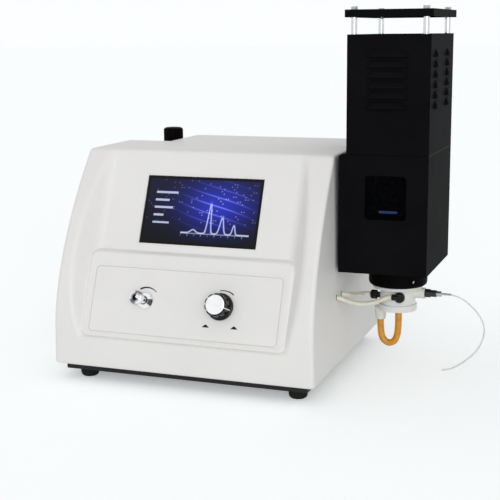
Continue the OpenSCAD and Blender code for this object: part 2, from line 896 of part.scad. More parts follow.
gas_out_path = [behind_panel(fine_x, fine_back), behind_panel(fine_x, fine_back + 8),
                [-44, 86, 91], [-20, 96, 97], [40, 100, 101], [100, 108, 104], [inlet_x - 17.5, 124, 107],
                [inlet_x - 5.5, outlet_y[1], outlet_z], [inlet_x, outlet_y[1], outlet_z]];
air_path = [[reg_x + regulator_w / 2 + seat_gap, reg_y, port_z], [bay_x + 8, reg_y, port_z],
            [-72, 268, 222], [-30, 220, 190], [30, 170, 160], [90, 122, 134], [inlet_x - 19.5, 107, 112],
            [inlet_x - 5.5, outlet_y[0], outlet_z], [inlet_x, outlet_y[0], outlet_z]];

module inner_pipes() {
    lean = [0.2, 0.3, 1];
    color([0.85, 0.85, 0.8]) place() {
        for (path = [gas_in_path, gas_link_path, gas_out_path, air_path])
            tube(smooth(path, 4), inner_pipe_d, lean, 8);
    }
}

// Bulkhead fittings in the case's right side.
module outlet_fittings() {
    color("silver") place() for (y = outlet_y)
        rod_x(fitting_x, hose_x - seat_gap, y, outlet_z, outlet_d);
}

// ---- Tower ----
module tower_mount() {
    low = 190;
    high = 280;
    gap = 0.1;
    color([0.08, 0.08, 0.08]) place() difference() {
        backward(axis_y - 40, axis_y + 40)
            polygon([[half_at(low) + gap, low], [box_x, low], [box_x, high], [half_at(high) + gap, high]]);
        rod_x(half_w - 20, box_x + 1, axis_y, optic_z, optic_d);
    }
}

// Front outline of the burner box, with a small chamfer on its upper left corner.
module box_line(inset) {
    polygon([[box_x + inset, box_z + inset], [box_right - inset, box_z + inset],
             [box_right - inset, box_top - inset], [box_x + box_chamfer_w + inset, box_top - inset],
             [box_x + inset, box_top - box_chamfer_h - inset]]);
}

module burner_box() {
    color([0.07, 0.07, 0.07]) place() difference() {
        backward(tower_y, tower_y + tower_d) box_line(0);
        backward(tower_y + sheet, tower_y + tower_d - sheet) box_line(sheet);
        translate([axis_x, axis_y, box_z - 1]) cylinder(h = sheet + 2, d = collar_bore);
        box(chimney_x + sheet, box_right - sheet, tower_y + sheet, tower_y + tower_d - sheet,
            box_top - sheet - 1, box_top + 1);
        rod_x(box_x - 1, box_x + sheet + 1, axis_y, optic_z, optic_d);
        backward(tower_y - 1, tower_y + sheet + 1)
            translate([front_x, window_z]) rounded(window_w, window_h, window_corner);
    }
}

module window_frame() {
    front = tower_y + sheet;
    color([0.05, 0.05, 0.05]) place() difference() {
        backward(front, front + frame_deep)
            translate([front_x, window_z])
                rounded(window_w + 2 * frame_rim, window_h + 2 * frame_rim, window_corner);
        backward(front - 1, front + frame_deep - glass_pane_t - 0.5)
            translate([front_x, window_z]) rounded(window_w, window_h, window_corner);
        backward(front + frame_deep - glass_pane_t - 0.6, front + frame_deep + 1)
            translate([front_x, window_z])
                rounded(window_w + frame_rim, window_h + frame_rim, window_corner);
    }
}

module window_glass() {
    back = tower_y + sheet + frame_deep;
    play = 0.15;
    color([0.05, 0.05, 0.08, 0.6]) place()
        backward(back - glass_pane_t, back)
            translate([front_x, window_z])
                rounded(window_w + frame_rim - 2 * play, window_h + frame_rim - 2 * play, window_corner);
}

// Profile of a pressed louvre in (out, up), shrunk by inset: a hood that is open at its bottom.
function hood_line(inset) = concat([[0, -inset], [louvre_out - inset, -inset]],
    [for (a = [30 : 30 : 90]) [(louvre_out - inset) * cos(a), (louvre_h - inset) * sin(a)]]);

// One hood, standing out along +X from a wall whose outer face is at X = 0; l is its length along Y.
module hood(l) {
    difference() {
        hood_form(l, 0);
        translate([-eps, 0, 0]) hood_form(l, 1);
    }
}

module hood_form(l, inset) {
    half = l / 2 - inset;
    intersection() {
        translate([0, half, 0]) rotate([90, 0, 0]) linear_extrude(2 * half) polygon(hood_line(inset));
        across(-1, louvre_out + 1)
            polygon([[-half, -2], [half, -2], [half, 0], [half - louvre_slope, louvre_h],
                     [louvre_slope - half, louvre_h], [-half, 0]]);
    }
}

// The slot in the wall behind a hood.
module slot(l) {
    half = l / 2 - louvre_slope;
    translate([-sheet - 1, -half, 0]) cube([sheet + 2, 2 * half, louvre_h * 0.5]);
}

// Calls its children at every louvre: front, back, and two columns on each side.
module at_louvres(front_back) {
    z_top = chimney_top - louvre_top - louvre_h;
    for (i = [0 : louvre_n - 1]) {
        z = z_top - i * louvre_pitch;
        if (front_back) {
            translate([front_x, tower_y, z]) rotate(-90) children();
            translate([front_x, tower_y + tower_d, z]) rotate(90) children();
        } else {
            for (dy = [-louvre_side_gap, louvre_side_gap]) {
                translate([box_right, axis_y + dy, z]) children();
                translate([chimney_x, axis_y + dy, z]) rotate(180) children();
            }
        }
    }
}

module chimney_box() {
    color([0.08, 0.08, 0.08]) place() difference() {
        box(chimney_x, box_right, tower_y, tower_y + tower_d, box_top, chimney_top);
        box(chimney_x + sheet, box_right - sheet, tower_y + sheet, tower_y + tower_d - sheet,
            box_top - 1, chimney_top - sheet);
        box(chimney_x + flue_edge, box_right - flue_edge, tower_y + flue_edge,
            tower_y + tower_d - flue_edge, chimney_top - sheet - 1, chimney_top + 1);
        at_louvres(true) slot(louvre_front_l);
        at_louvres(false) slot(louvre_side_l);
    }
}

module louvres() {
    color([0.08, 0.08, 0.08]) place() {
        at_louvres(true) hood(louvre_front_l);
        at_louvres(false) hood(louvre_side_l);
    }
}

// The cap's posts stand on the chimney and reach the underside of the cap's top sheet.
module at_posts() {
    for (x = [chimney_x + post_edge, box_right - post_edge],
         y = [tower_y + post_front, tower_y + tower_d - post_front])
        translate([x, y, 0]) children();
}

module cap_posts() {
    color("silver") place() at_posts() {
        translate([0, 0, chimney_top]) cylinder(h = cap_top - sheet - chimney_top, d = post_d);
        translate([0, 0, cap_top - sheet - eps]) cylinder(h = sheet + nut_h + 0.4, d = stud_d);
    }
}

module cap_nuts() {
    color("silver") place() at_posts() translate([0, 0, cap_top]) difference() {
        cylinder(h = nut_h, d = nut_d, $fn = 6);
        translate([0, 0, -1]) cylinder(h = nut_h + 2, d = stud_d + 2 * run_gap, $fn = 48);
    }
}

module rain_cap() {
    x0 = chimney_x - cap_over;
    x1 = box_right + cap_over;
    y0 = tower_y - cap_over;
    y1 = tower_y + tower_d + cap_over;
    color([0.07, 0.07, 0.07]) place() difference() {
        box(x0, x1, y0, y1, cap_z, cap_top);
        box(x0 + sheet, x1 - sheet, y0 + sheet, y1 - sheet, cap_z - 1, cap_top - sheet);
        at_posts() translate([0, 0, cap_z]) cylinder(h = cap_h + 1, d = stud_d + 0.4);
    }
}

// ---- Burner ----
module burner_tube() {
    top = burner_top_z - 20;
    color("silver") place() translate([axis_x, axis_y, collar_z]) difference() {
        cylinder(h = top - collar_z, d = burner_tube_d);
        translate([0, 0, -1]) cylinder(h = top - collar_z + 2, d = burner_tube_d - 6);
    }
}

module burner_head() {
    low = burner_top_z - 20;
    grid = [[0, 1], [4.4, 6], [8.8, 12]];
    color([0.75, 0.7, 0.6]) place() translate([axis_x, axis_y, low]) difference() {
        union() {
            cylinder(h = 20, d = burner_head_d);
        }
        translate([0, 0, -1]) cylinder(h = 15, d = burner_tube_d - 6);
        for (g = grid, k = [0 : g[1] - 1])
            rotate(k * 360 / g[1]) translate([g[0], 0, 10]) cylinder(h = 11, d = 2.2);
    }
}

// Spark electrode: a ceramic rod on the box's floor with its tip bent over the burner.
module igniter() {
    x = axis_x + 24;
    y = axis_y + 16;
    color([0.9, 0.88, 0.8]) place() union() {
        translate([x, y, box_z + sheet]) cylinder(h = 60, d = 6);
        translate([x, y, box_z + sheet]) cylinder(h = 8, d = 12);
        translate([x, y, box_z + sheet + 59]) cylinder(h = 20, d = 1.6);
        translate([x, y, box_z + sheet + 78]) rotate([0, 0, 214]) rotate([0, 90, 0]) cylinder(h = 14, d = 1.6);
    }
}

module collar() {
    r = collar_d / 2;
    color([0.05, 0.05, 0.05]) place() translate([axis_x, axis_y, collar_z]) difference() {
        rotate_extrude()
            polygon([[0, 0], [r - 5, 0], [r - 2.6, 0.7], [r - 0.9, 2.2], [r, 4.8], [r, collar_h], [0, collar_h]]);
        translate([0, 0, -1]) cylinder(h = collar_h + 2, d = burner_tube_d + 2 * run_gap);
        at_collar_screws() cylinder(h = collar_d, d = screw_d + 1 + 2 * run_gap);
    }
}

// Set screws around the collar, lying along its radius and sunk below its surface.
module at_collar_screws() {
    for (a = [-45, 75, 195])
        rotate(a) translate([burner_tube_d / 2 + 4, 0, 9]) rotate([0, 90, 0]) children();
}

module collar_screws() {
    reach = collar_d / 2 - burner_tube_d / 2 - 4;
    translate([axis_x, axis_y, collar_z]) at_collar_screws() {
        translate([0, 0, 1]) cylinder(h = reach - 2.5, d = screw_d + 1);
    }
}

// ---- Spray chamber ----
module spray_chamber() {
    bore = chamber_d - 2 * chamber_wall;
    color([0.9, 0.9, 0.85, 0.6]) place() translate([axis_x, axis_y, 0]) difference() {
        union() {
            translate([0, 0, barrel_z]) cylinder(h = chamber_h + eps, d = chamber_d);
            translate([0, 0, flange_z]) cylinder(h = flange_t, d = flange_d);
        }
        translate([0, 0, barrel_z - 1]) cylinder(h = chamber_h + 1, d = bore);
        translate([0, 0, flange_z - 1]) cylinder(h = flange_t + 2, d = burner_tube_d - 6);
        rotate([0, 90, 0]) translate([-neb_z, 0, 0]) cylinder(h = chamber_d, d = 5);
        rotate([0, -90, 0]) translate([hose_z, 0, 0]) cylinder(h = chamber_d, d = 4);
        translate([elbow_in, 0, elbow_z]) rotate([90, 0, 0]) cylinder(h = chamber_d, d = 4);
    }
}

module chamber_foot() {
    color([0.92, 0.92, 0.88, 0.7]) place() difference() {
        union() {
            translate([axis_x, axis_y, foot_plate_z]) cylinder(h = foot_plate_t, d = foot_plate_d);
            translate([spigot_x, axis_y, foot_plate_z - spigot_l])
                cylinder(h = spigot_l + 2, d1 = spigot_d, d2 = spigot_top_d);
            translate([drain_x, axis_y, foot_plate_z - 2.5]) cylinder(h = 3, d = spigot_d);
        }
        translate([spigot_x, axis_y, foot_plate_z - spigot_l - 1])
            cylinder(h = spigot_l - 1.5, d = drain_d + 2 * seat_gap);
        translate([drain_x, axis_y, foot_plate_z - 3.5])
            cylinder(h = drain_in + 3.5, d = drain_d + 2 * seat_gap);
        translate([drain_x, axis_y, foot_plate_z]) cylinder(h = foot_plate_t + 1, d = 5);
    }
}

drain_route = [[spigot_x, foot_plate_z - 2.8], [spigot_x, 66], [spigot_x + 0.6, 54], [spigot_x + 2.4, 44.5],
               [spigot_x + 6.6, 38.6], [spigot_x + 12.2, 36.6], [drain_x - 5.4, 39.4],
               [drain_x - 1.6, 47.5], [drain_x - 0.2, 58], [drain_x, 68], [drain_x, foot_plate_z + drain_in - 0.3]];

module drain_tube() {
    path = [for (p = drain_route) [p[0], axis_y, p[1]]];
    color([0.8, 0.52, 0.15]) place() tube(smooth(path, 3), drain_d, [0, 1, 0], 16);
}

// One fitting on the barrel's left, one elbow on its front that turns to the left.
elbow_in = 8.5;
elbow_x = axis_x + elbow_in;
elbow_z = 105.6;
elbow_y = axis_y - chamber_d / 2 - 6;
elbow_end = elbow_x - 10;
left_end = axis_x - chamber_d / 2 - 13;

module hose_fittings() {
    color("silver") place() difference() {
        union() {
            rod_x(left_end + 4, axis_x - chamber_d / 2 + 2, axis_y, hose_z, 8);
            rod_x(left_end, left_end + 9, axis_y, hose_z, fit_d);
            rod_y(elbow_x, elbow_y, axis_y - chamber_d / 2 + 3, elbow_z, 8);
            rod_y(elbow_x, elbow_y - 3, elbow_y + 3.5, elbow_z, fit_d + 2);
            rod_x(elbow_end, elbow_x, elbow_y, elbow_z, fit_d - 4);
        }
        translate([axis_x, axis_y, barrel_z]) cylinder(h = chamber_h, d = chamber_d);
    }
}

gas_route = [[hose_x, outlet_y[1], outlet_z], [hose_x + 4.5, outlet_y[1] + 1, outlet_z - 0.2],
             [hose_x + 9.5, 136.5, 107.8], [hose_x + 12, 147, 105.6], [hose_x + 13.2, 158, 103.6],
             [hose_x + 16, 168, 102],
             [left_end - 7.5, axis_y - 1.5, hose_z + 0.2], [left_end - 3, axis_y, hose_z],
             [left_end - seat_gap, axis_y, hose_z]];
air_route = [[hose_x, outlet_y[0], outlet_z], [hose_x + 4.5, outlet_y[0] + 0.8, outlet_z - 0.5],
             [hose_x + 12, 112, 104.8], [hose_x + 22, 120, 100.8], [hose_x + 33, 129.5, 99],
             [hose_x + 44, 138.5, 100.6], [elbow_end - 8, elbow_y - 0.8, elbow_z - 1.4],
             [elbow_end - 3, elbow_y, elbow_z], [elbow_end - seat_gap, elbow_y, elbow_z]];

module gas_hose() {
    color([0.85, 0.84, 0.74]) place() tube(smooth(gas_route, 3), hose_d, [0, 0, 1], 12);
}

module air_hose() {
    color([0.85, 0.84, 0.74]) place() tube(smooth(air_route, 3), hose_d, [0, 0, 1], 12);
}

module nebuliser() {
    color([0.9, 0.9, 0.86]) place() difference() {
        rod_x(axis_x + chamber_d / 2 - 3, neb_end, axis_y, neb_z, neb_d);
        translate([axis_x, axis_y, barrel_z]) cylinder(h = chamber_h + 1, d = chamber_d);
        translate([0, 0, flange_z]) box(0, far, 0, far, 0, flange_t + 10);
        rod_x(axis_x, neb_end + 1, axis_y, neb_z, needle_d + 2 * run_gap);
    }
}

module nebuliser_nuts() {
    color([0.15, 0.15, 0.15]) place() difference() {
        union() {
            rod_x(neb_end, neb_end + 7, axis_y, neb_z, neb_nut_d);
            rod_x(neb_end + 7 - eps, neb_end + neb_nut_l, axis_y, neb_z, neb_nut_d - 2);
        }
        rod_x(axis_x, neb_end + 30, axis_y, neb_z, needle_d + 2 * run_gap);
    }
}

module needle() {
    color("silver") place() union() {
        rod_x(axis_x + chamber_d / 2 + 2, needle_x + 1, axis_y, neb_z, needle_d);
        rod_x(needle_x, needle_x + needle_hub_l, axis_y, neb_z, needle_hub_d);
        rod_x(needle_x + 1, needle_end, axis_y, neb_z, needle_tip_d);
    }
}

// Sample capillary: free end, bare; chosen by hand from the needle's end down to the bench.
capillary_route = [[needle_end, axis_y, neb_z], [314, 176, 106], [323, 177, 102.2], [333, 178, 94.5],
                   [341, 179, 86], [348, 180, 75], [351, 181, 63], [349, 183, 50], [343, 186, 36],
                   [333, 189, 23], [321, 192, 12], [311, 193, 5], [303, 192, 2], [296, 189, 1]];

module capillary() {
    color([0.9, 0.93, 0.95, 0.7]) place() tube(smooth(capillary_route, 3), capillary_d, [0, 1, 0], 8);
}

// ---- Regulator bay ----
module regulator_body() {
    half = regulator_w / 2;
    color([0.2, 0.2, 0.22]) place() difference() {
        union() {
            translate([reg_x, reg_y, body_z]) linear_extrude(reg_body_h)
                rounded(regulator_w, regulator_w, 4);
            translate([reg_x, reg_y, body_top - eps]) cylinder(h = bonnet_h, d = bonnet_d);
            translate([reg_x, reg_y, body_top + bonnet_h - 1]) cylinder(h = neck_h + 1, d = neck_d);
        }
        translate([reg_x, reg_y, body_top + 10]) cylinder(h = far, d = reg_screw_d + 2 * run_gap);
        translate([reg_x, reg_y, body_z - 1]) cylinder(h = 7, d = bowl_d - 8);
        rod_x(reg_x - half - 1, reg_x - half + 8, reg_y, port_z, barb_d + 2 * run_gap);
        rod_y(reg_x, reg_y + half - 8, reg_y + half + 1, port_z, gauge_stem_d + 2 * run_gap);
    }
}

module regulator_bowl() {
    r = bowl_d / 2;
    color([0.85, 0.88, 0.9, 0.5]) place() translate([reg_x, reg_y, body_z - bowl_h]) difference() {
        rotate_extrude()
            polygon([[0, -8], [3, -8], [3, 0], [r * 0.7, 0], [r * 0.93, 4], [r, 11], [r, bowl_h], [0, bowl_h]]);
        translate([0, 0, bowl_wall]) rotate_extrude()
            polygon([[0, 0], [r * 0.62, 0], [r * 0.85, 5], [r - bowl_wall, 11], [r - bowl_wall, bowl_h], [0, bowl_h]]);
    }
}

module regulator_screw() {
    top = regulator_top - 6;
    color("silver") place() translate([reg_x, reg_y, body_top + 11])
        cylinder(h = top - body_top - 11, d = reg_screw_d);
}

module regulator_knob() {
    flutes = 24;
    inner = neck_d + 2;
    depth = neck_h + pull + 3;
    r = regulator_knob_d / 2;
    color([0.05, 0.05, 0.05]) place() translate([reg_x, reg_y, reg_knob_z]) difference() {
        rotate_extrude()
            polygon([[0, 0], [r, 0], [r, reg_knob_h - 2.5], [r - 2.5, reg_knob_h - 0.6],
                     [r - 5, reg_knob_h], [0, reg_knob_h]]);
        translate([0, 0, -1]) cylinder(h = depth - 2, d = inner);
        translate([0, 0, -1]) cylinder(h = reg_knob_h - 5 + 0.3, d = reg_screw_d + 2 * run_gap);
        for (i = [0 : flutes - 1])
            rotate(i * 360 / flutes) translate([r + 0.5, 0, -1]) cylinder(h = reg_knob_h - 3, d = 2.2);
    }
}

gauge_y = reg_y + regulator_w / 2 + gauge_stem_l;
gauge_front = gauge_y + gauge_t;
gauge_floor = gauge_front - gauge_deep;

module gauge_case() {
    color([0.1, 0.1, 0.1]) place() union() {
        difference() {
            rod_y(reg_x, gauge_y, gauge_front, port_z, gauge_d);
            rod_y(reg_x, gauge_floor, gauge_front + 1, port_z, gauge_d - 2 * gauge_rim);
        }
        rod_y(reg_x, gauge_y - gauge_stem_l - 7, gauge_y + eps, port_z, gauge_stem_d);
        rod_y(reg_x, gauge_floor - eps, gauge_floor + 4.2, port_z, pointer_pin_d);
    }
}

module gauge_pointer() {
    tip = gauge_d / 2 - gauge_rim - 2;
    back = gauge_floor + 2;
    color("firebrick") place() difference() {
        union() {
            rod_y(reg_x, back, back + 1.6, port_z, pointer_hub_d);
            backward(back + 0.4, back + 1.2) translate([reg_x, port_z]) rotate(-45)
                polygon([[-5, -1], [-5, 1], [tip, 0.35], [tip, -0.35]]);
        }
        rod_y(reg_x, back - 1, back + 3, port_z, pointer_pin_d + 2 * run_gap);
    }
}

// ---- Rear fittings ----
module power_inlet() {
    out = back_y + flange_out;
    color([0.07, 0.07, 0.07]) place() difference() {
        union() {
            backward(back_y, out) translate([power_x, power_z])
                rounded(power_w + 2 * flange_rim, power_h + 2 * flange_rim, 2);
            backward(back_y - power_in, back_y + eps) translate([power_x, power_z])
                square([power_w, power_h], center = true);
        }
        difference() {
            backward(out - socket_depth, out + 1) translate([power_x, power_z + socket_up])
                rounded(socket_w, socket_h, 2);
            for (p = [[-7, -2], [0, 2], [7, -2]])
                box(power_x + p[0] - 1, power_x + p[0] + 1, out - socket_depth - 1, out - 4,
                    power_z + socket_up + p[1] - 2, power_z + socket_up + p[1] + 2);
        }
        backward(out - fuse_in, out + 1) translate([power_x, power_z + fuse_down])
            square([fuse_w, fuse_h], center = true);
    }
}

module fuse_drawer() {
    out = back_y + flange_out;
    slide_gap = 0.2;
    color([0.12, 0.12, 0.12]) place() difference() {
        union() {
            backward(out - fuse_in + 1, out + 1) translate([power_x, power_z + fuse_down])
                square([fuse_w - 2 * slide_gap, fuse_h - 2 * slide_gap], center = true);
            backward(out + 1 - eps, out + 2.6) translate([power_x, power_z + fuse_down])
                square([fuse_w - 6, 4], center = true);
        }
        box(power_x - 8, power_x + 8, out - fuse_in + 3, out - 3,
            power_z + fuse_down - 2.6, power_z + fuse_down + fuse_h);
    }
}

module switch_frame() {
    out = back_y + 2;
    inner_w = switch_w - 2 * switch_wall;
    inner_h = switch_h - 2 * switch_wall;
    pivot_y = out - rocker_depth;
    color([0.07, 0.07, 0.07]) place() difference() {
        union() {
            backward(back_y, out) translate([switch_x, switch_z])
                rounded(switch_w + 4, switch_h + 4, 1.5);
            backward(back_y - switch_in, back_y + eps) translate([switch_x, switch_z])
                square([switch_w, switch_h], center = true);
        }
        backward(out - 10, out + 1) translate([switch_x, switch_z])
            square([inner_w, inner_h], center = true);
        rod_x(switch_x - inner_w / 2 - 1.2, switch_x + inner_w / 2 + 1.2, pivot_y, switch_z,
              rocker_pin_d + 2 * run_gap);
    }
}

module switch_rocker() {
    half = (switch_w - 2 * switch_wall) / 2 - 0.3;
    tall = (switch_h - 2 * switch_wall) / 2 - 1.5;
    pivot_y = back_y + 2 - rocker_depth;
    color([0.5, 0.08, 0.08]) place() translate([switch_x, pivot_y, switch_z]) rotate([rocker_rest, 0, 0]) union() {
        across(-half, half)
            polygon([[-3, -tall + 0.8], [7.2, -tall], [4.8, 0], [7.2, tall], [-3, tall - 0.8]]);
        rod_x(-half - rocker_pin_l, half + rocker_pin_l, 0, 0, rocker_pin_d);
    }
}

module data_port() {
    color("silver") place() difference() {
        union() {
            backward(back_y - data_in, back_y + data_out) translate([data_x, data_z])
                square([data_w, data_h], center = true);
            backward(back_y, back_y + 1) translate([data_x, data_z])
                rounded(data_w + 14, data_h + 3, 1.5);
        }
        backward(back_y + data_out - data_depth, back_y + data_out + 1) translate([data_x, data_z])
            rounded(data_w - 3, data_h - 3, 2);
    }
}

// Barbs for the gas supply, in the rear panel, and for the air supply, in the regulator.
module barb(l) {
    r = barb_d / 2;
    union() {
        cylinder(h = l, r = r);
    }
}

module inlet_barbs() {
    bore = 4;
    reg_left = reg_x - regulator_w / 2;
    color("goldenrod") place() difference() {
        union() {
            translate([gas_in_x, back_y, gas_in_z]) rotate([-90, 0, 0]) {
                cylinder(h = barb_base, d = barb_hex_d, $fn = 6);
                barb(barb_base + barb_l);
            }
            rod_y(gas_in_x, tray_back - 1, back_y + eps, gas_in_z, barb_d);
            translate([reg_left, reg_y, port_z]) rotate([0, -90, 0]) {
                cylinder(h = barb_base, d = barb_hex_d, $fn = 6);
                barb(barb_base + barb_l);
            }
            rod_x(reg_left - eps, reg_left + 7, reg_y, port_z, barb_d);
        }
        rod_y(gas_in_x, tray_back, rear_reach + 1, gas_in_z, bore);
        rod_x(reg_left - barb_base - barb_l - 1, reg_left + 6, reg_y, port_z, bore);
    }
}

base_tray();
feet();
case_shell();
rear_panel();
bay_panel();
screws();
display_glass();
display_module();
control_plate();
gas_knob();
gas_knob_cap();
gas_spindle();
gas_valve_body();
fine_knob();
fine_collar();
fine_spindle();
fine_valve_body();
main_board();
power_supply();
optics_stand();
optics_block();
lens_and_filters();
detectors();
inner_pipes();
outlet_fittings();
tower_mount();
burner_box();
window_frame();
window_glass();
chimney_box();
louvres();
burner_head();
burner_tube();
igniter();
cap_posts();
cap_nuts();
rain_cap();
collar();
spray_chamber();
chamber_foot();
hose_fittings();
gas_hose();
air_hose();
drain_tube();
nebuliser();
nebuliser_nuts();
needle();
capillary();
regulator_body();
regulator_bowl();
regulator_screw();
regulator_knob();
gauge_case();
gauge_pointer();
power_inlet();
fuse_drawer();
switch_frame();
switch_rocker();
data_port();
inlet_barbs();
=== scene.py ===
"""Looks of the bench flame photometer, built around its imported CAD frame.

Lengths are machine millimetres until at() turns them into the frame's metres: X runs across the case
from its middle, Y back from the front bottom edge and Z up from the bench.
"""

import math

import bpy
import numpy as np
from mathutils import Matrix, Vector


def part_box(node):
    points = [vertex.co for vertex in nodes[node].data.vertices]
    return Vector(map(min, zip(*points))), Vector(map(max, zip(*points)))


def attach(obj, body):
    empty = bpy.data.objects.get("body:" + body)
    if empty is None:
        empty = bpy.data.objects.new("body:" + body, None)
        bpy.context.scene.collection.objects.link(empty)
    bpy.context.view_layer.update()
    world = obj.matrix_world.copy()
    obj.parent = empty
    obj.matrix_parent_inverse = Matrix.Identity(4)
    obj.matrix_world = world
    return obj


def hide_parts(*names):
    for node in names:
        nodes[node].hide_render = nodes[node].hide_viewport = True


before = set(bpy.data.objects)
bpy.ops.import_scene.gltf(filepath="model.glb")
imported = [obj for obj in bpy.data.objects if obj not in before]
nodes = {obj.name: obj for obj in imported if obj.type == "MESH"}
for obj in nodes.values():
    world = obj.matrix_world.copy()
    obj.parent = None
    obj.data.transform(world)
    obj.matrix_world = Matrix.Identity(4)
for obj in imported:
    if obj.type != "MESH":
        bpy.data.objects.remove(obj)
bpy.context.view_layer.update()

# ---- Machine axes ----
TRAY_FRONT = 12.0  # the tray starts this far behind the case's front bottom edge
tray_low, tray_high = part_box("base_tray")
SHIFT = Vector((-500 * (tray_low.x + tray_high.x), TRAY_FRONT - 1000 * tray_low.y, 0))


def at(x, y, z):
    """A point in machine millimetres, as metres in the frame."""
    return (Vector((x, y, z)) - SHIFT) / 1000


def span(node):
    """Lowest and highest corner of a CAD node, in machine millimetres."""
    low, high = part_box(node)
    return low * 1000 + SHIFT, high * 1000 + SHIFT


# ---- Camera: fitted to the case's edges in the 500 x 500 photograph ----
FOCAL_PX = 1099.04
PICTURE_PX = 500
SENSOR_MM = 36
CAMERA_AT = (542.11, -1206.98, 443.87)
CAMERA_AHEAD = Vector((-0.339442, 0.920057, -0.195640))
CAMERA_RIGHT = Vector((0.938772, 0.344421, -0.009057))

camera_data = bpy.data.cameras.new("camera")
camera_data.sensor_width = SENSOR_MM
camera_data.lens = SENSOR_MM * FOCAL_PX / PICTURE_PX
camera_data.clip_end = 100
camera = bpy.data.objects.new("camera", camera_data)
ahead = CAMERA_AHEAD.normalized()
right = (CAMERA_RIGHT - ahead * CAMERA_RIGHT.dot(ahead)).normalized()
camera.matrix_world = Matrix.Translation(at(*CAMERA_AT)) @ Matrix(
    (right, right.cross(ahead), -ahead)).transposed().to_4x4()
bpy.context.scene.collection.objects.link(camera)
bpy.context.scene.camera = camera


# ---- Materials ----
def linear(code):
    """An sRGB hex colour as linear red, green, blue and alpha."""
    parts = [int(code[i:i + 2], 16) / 255 for i in (1, 3, 5)]
    return [c / 12.92 if c <= 0.04045 else ((c + 0.055) / 1.055) ** 2.4 for c in parts] + [1.0]


def add(material, kind, settings=None, links=None):
    """Adds a shader node: settings are its properties (a word) or inputs (a name or number),
    links are its inputs with the node and output that feed each."""
    node = material.node_tree.nodes.new("ShaderNode" + kind)
    for key, value in (settings or {}).items():
        if isinstance(key, str) and key.islower():
            setattr(node, key, value)
        else:
            node.inputs[key].default_value = value
    for key, (source, output) in (links or {}).items():
        material.node_tree.links.new(source.outputs[output], node.inputs[key])
    return node


def bare_material(name):
    """A new material with no nodes yet."""
    material = bpy.data.materials.new(name)
    material.use_nodes = True
    material.node_tree.nodes.clear()
    return material


def finish(name, light, dark, rough, grain, depth, edge=0.4, patch=40, spread=0.06, **shader):
    """A real finish: a colour that drifts between two near shades over patches, a roughness that
    drifts by spread, a relief of one grain size and depth, and edges broken by a small radius.
    grain, depth, edge and patch are millimetres; shader holds further inputs of the surface."""
    material = bare_material(name)
    place = add(material, "TexCoord")
    drift = add(material, "TexNoise", {"Scale": 1000 / patch, "Detail": 3.0, "Roughness": 0.6},
                {"Vector": (place, "Object")})
    shade = add(material, "ValToRGB", links={"Fac": (drift, "Fac")})
    shade.color_ramp.elements[0].position = 0.3
    shade.color_ramp.elements[0].color = linear(dark)
    shade.color_ramp.elements[1].position = 0.7
    shade.color_ramp.elements[1].color = linear(light)
    relief = add(material, "TexNoise", {"Scale": 1000 / grain, "Detail": 2.0},
                 {"Vector": (place, "Object")})
    gloss = add(material, "MapRange", {"To Min": rough - spread, "To Max": rough + spread},
                {"Value": (drift, "Fac")})
    broken = add(material, "Bevel", {"samples": 6, "Radius": edge / 1000})
    bump = add(material, "Bump", {"Strength": 1.0, "Distance": depth / 1000},
               {"Height": (relief, "Fac"), "Normal": (broken, "Normal")})
    surface = add(material, "BsdfPrincipled",
                  {key.replace("_", " "): value for key, value in shader.items()},
                  {"Base Color": (shade, "Color"), "Roughness": (gloss, "Result"),
                   "Normal": (bump, "Normal")})
    add(material, "OutputMaterial", links={"Surface": (surface, "BSDF")})
    material.diffuse_color = linear(light)
    return material


# Moulded ABS of the case: a satin white with a faint spark-eroded grain.
moulded_abs = finish(
    "moulded_abs_white", "#e9e8e6", "#e6e5e3", 0.42, 0.9, 0.012, 0.5, 90, IOR=1.5,
    Specular_IOR_Level=0.35)
# Printed polyester film on the control plate: smoother and a touch glossier than the case.
printed_film = finish(
    "printed_film_white", "#e9e8e6", "#e5e4e2", 0.3, 1.4, 0.006, 0.3, 70, IOR=1.55,
    Specular_IOR_Level=0.4)
# Screen-printed ink: flat black with a slightly uneven edge of gloss.
printed_ink = finish(
    "printed_ink_black", "#1c1b1b", "#141313", 0.5, 0.3, 0.004, 0.05, 5, Specular_IOR_Level=0.2)
# Off-white powder coat on the folded rear sheet: a fine orange peel.
powder_white = finish(
    "powder_coat_white", "#dedfdf", "#d8d9d9", 0.45, 1.6, 0.05, 0.5, 60, Specular_IOR_Level=0.4)
# Black powder coat on the tower's folded sheet: deep satin black, a fine even texture.
powder_black = finish(
    "powder_coat_black", "#111113", "#0d0d0f", 0.6, 0.9, 0.035, 0.6, 50, IOR=1.32,
    Specular_IOR_Level=0.03)
# Black baked enamel on the base tray: plainer and a little greyer than the tower.
enamel_black = finish(
    "baked_enamel_black", "#1b1b1c", "#151516", 0.5, 1.2, 0.03, 0.4, 40, Specular_IOR_Level=0.25)
# Moulded nitrile rubber of the feet: dull, dusty black.
nitrile_rubber = finish(
    "nitrile_rubber", "#161616", "#101010", 0.78, 0.7, 0.05, 0.8, 12, Specular_IOR_Level=0.2)
# Moulded phenolic of the gas knob and hose nuts: hard glossy black with soft highlights.
phenolic_black = finish(
    "phenolic_black", "#0b0b0c", "#080809", 0.26, 1.5, 0.01, 0.35, 15, Specular_IOR_Level=0.25)
# Satin anodised aluminium disc in the knob: pale silver, almost white face on.
cap_aluminium = finish(
    "satin_aluminium_cap", "#f4f4f5", "#ececee", 0.38, 0.5, 0.006, 0.25, 12, Metallic=0.75)
# Chrome plate on the rain cap's posts: mirror bright.
chrome_plate = finish(
    "chrome_plate", "#d9dadc", "#cfd0d3", 0.09, 2.5, 0.004, 0.25, 10, spread=0.03, Metallic=1.0)
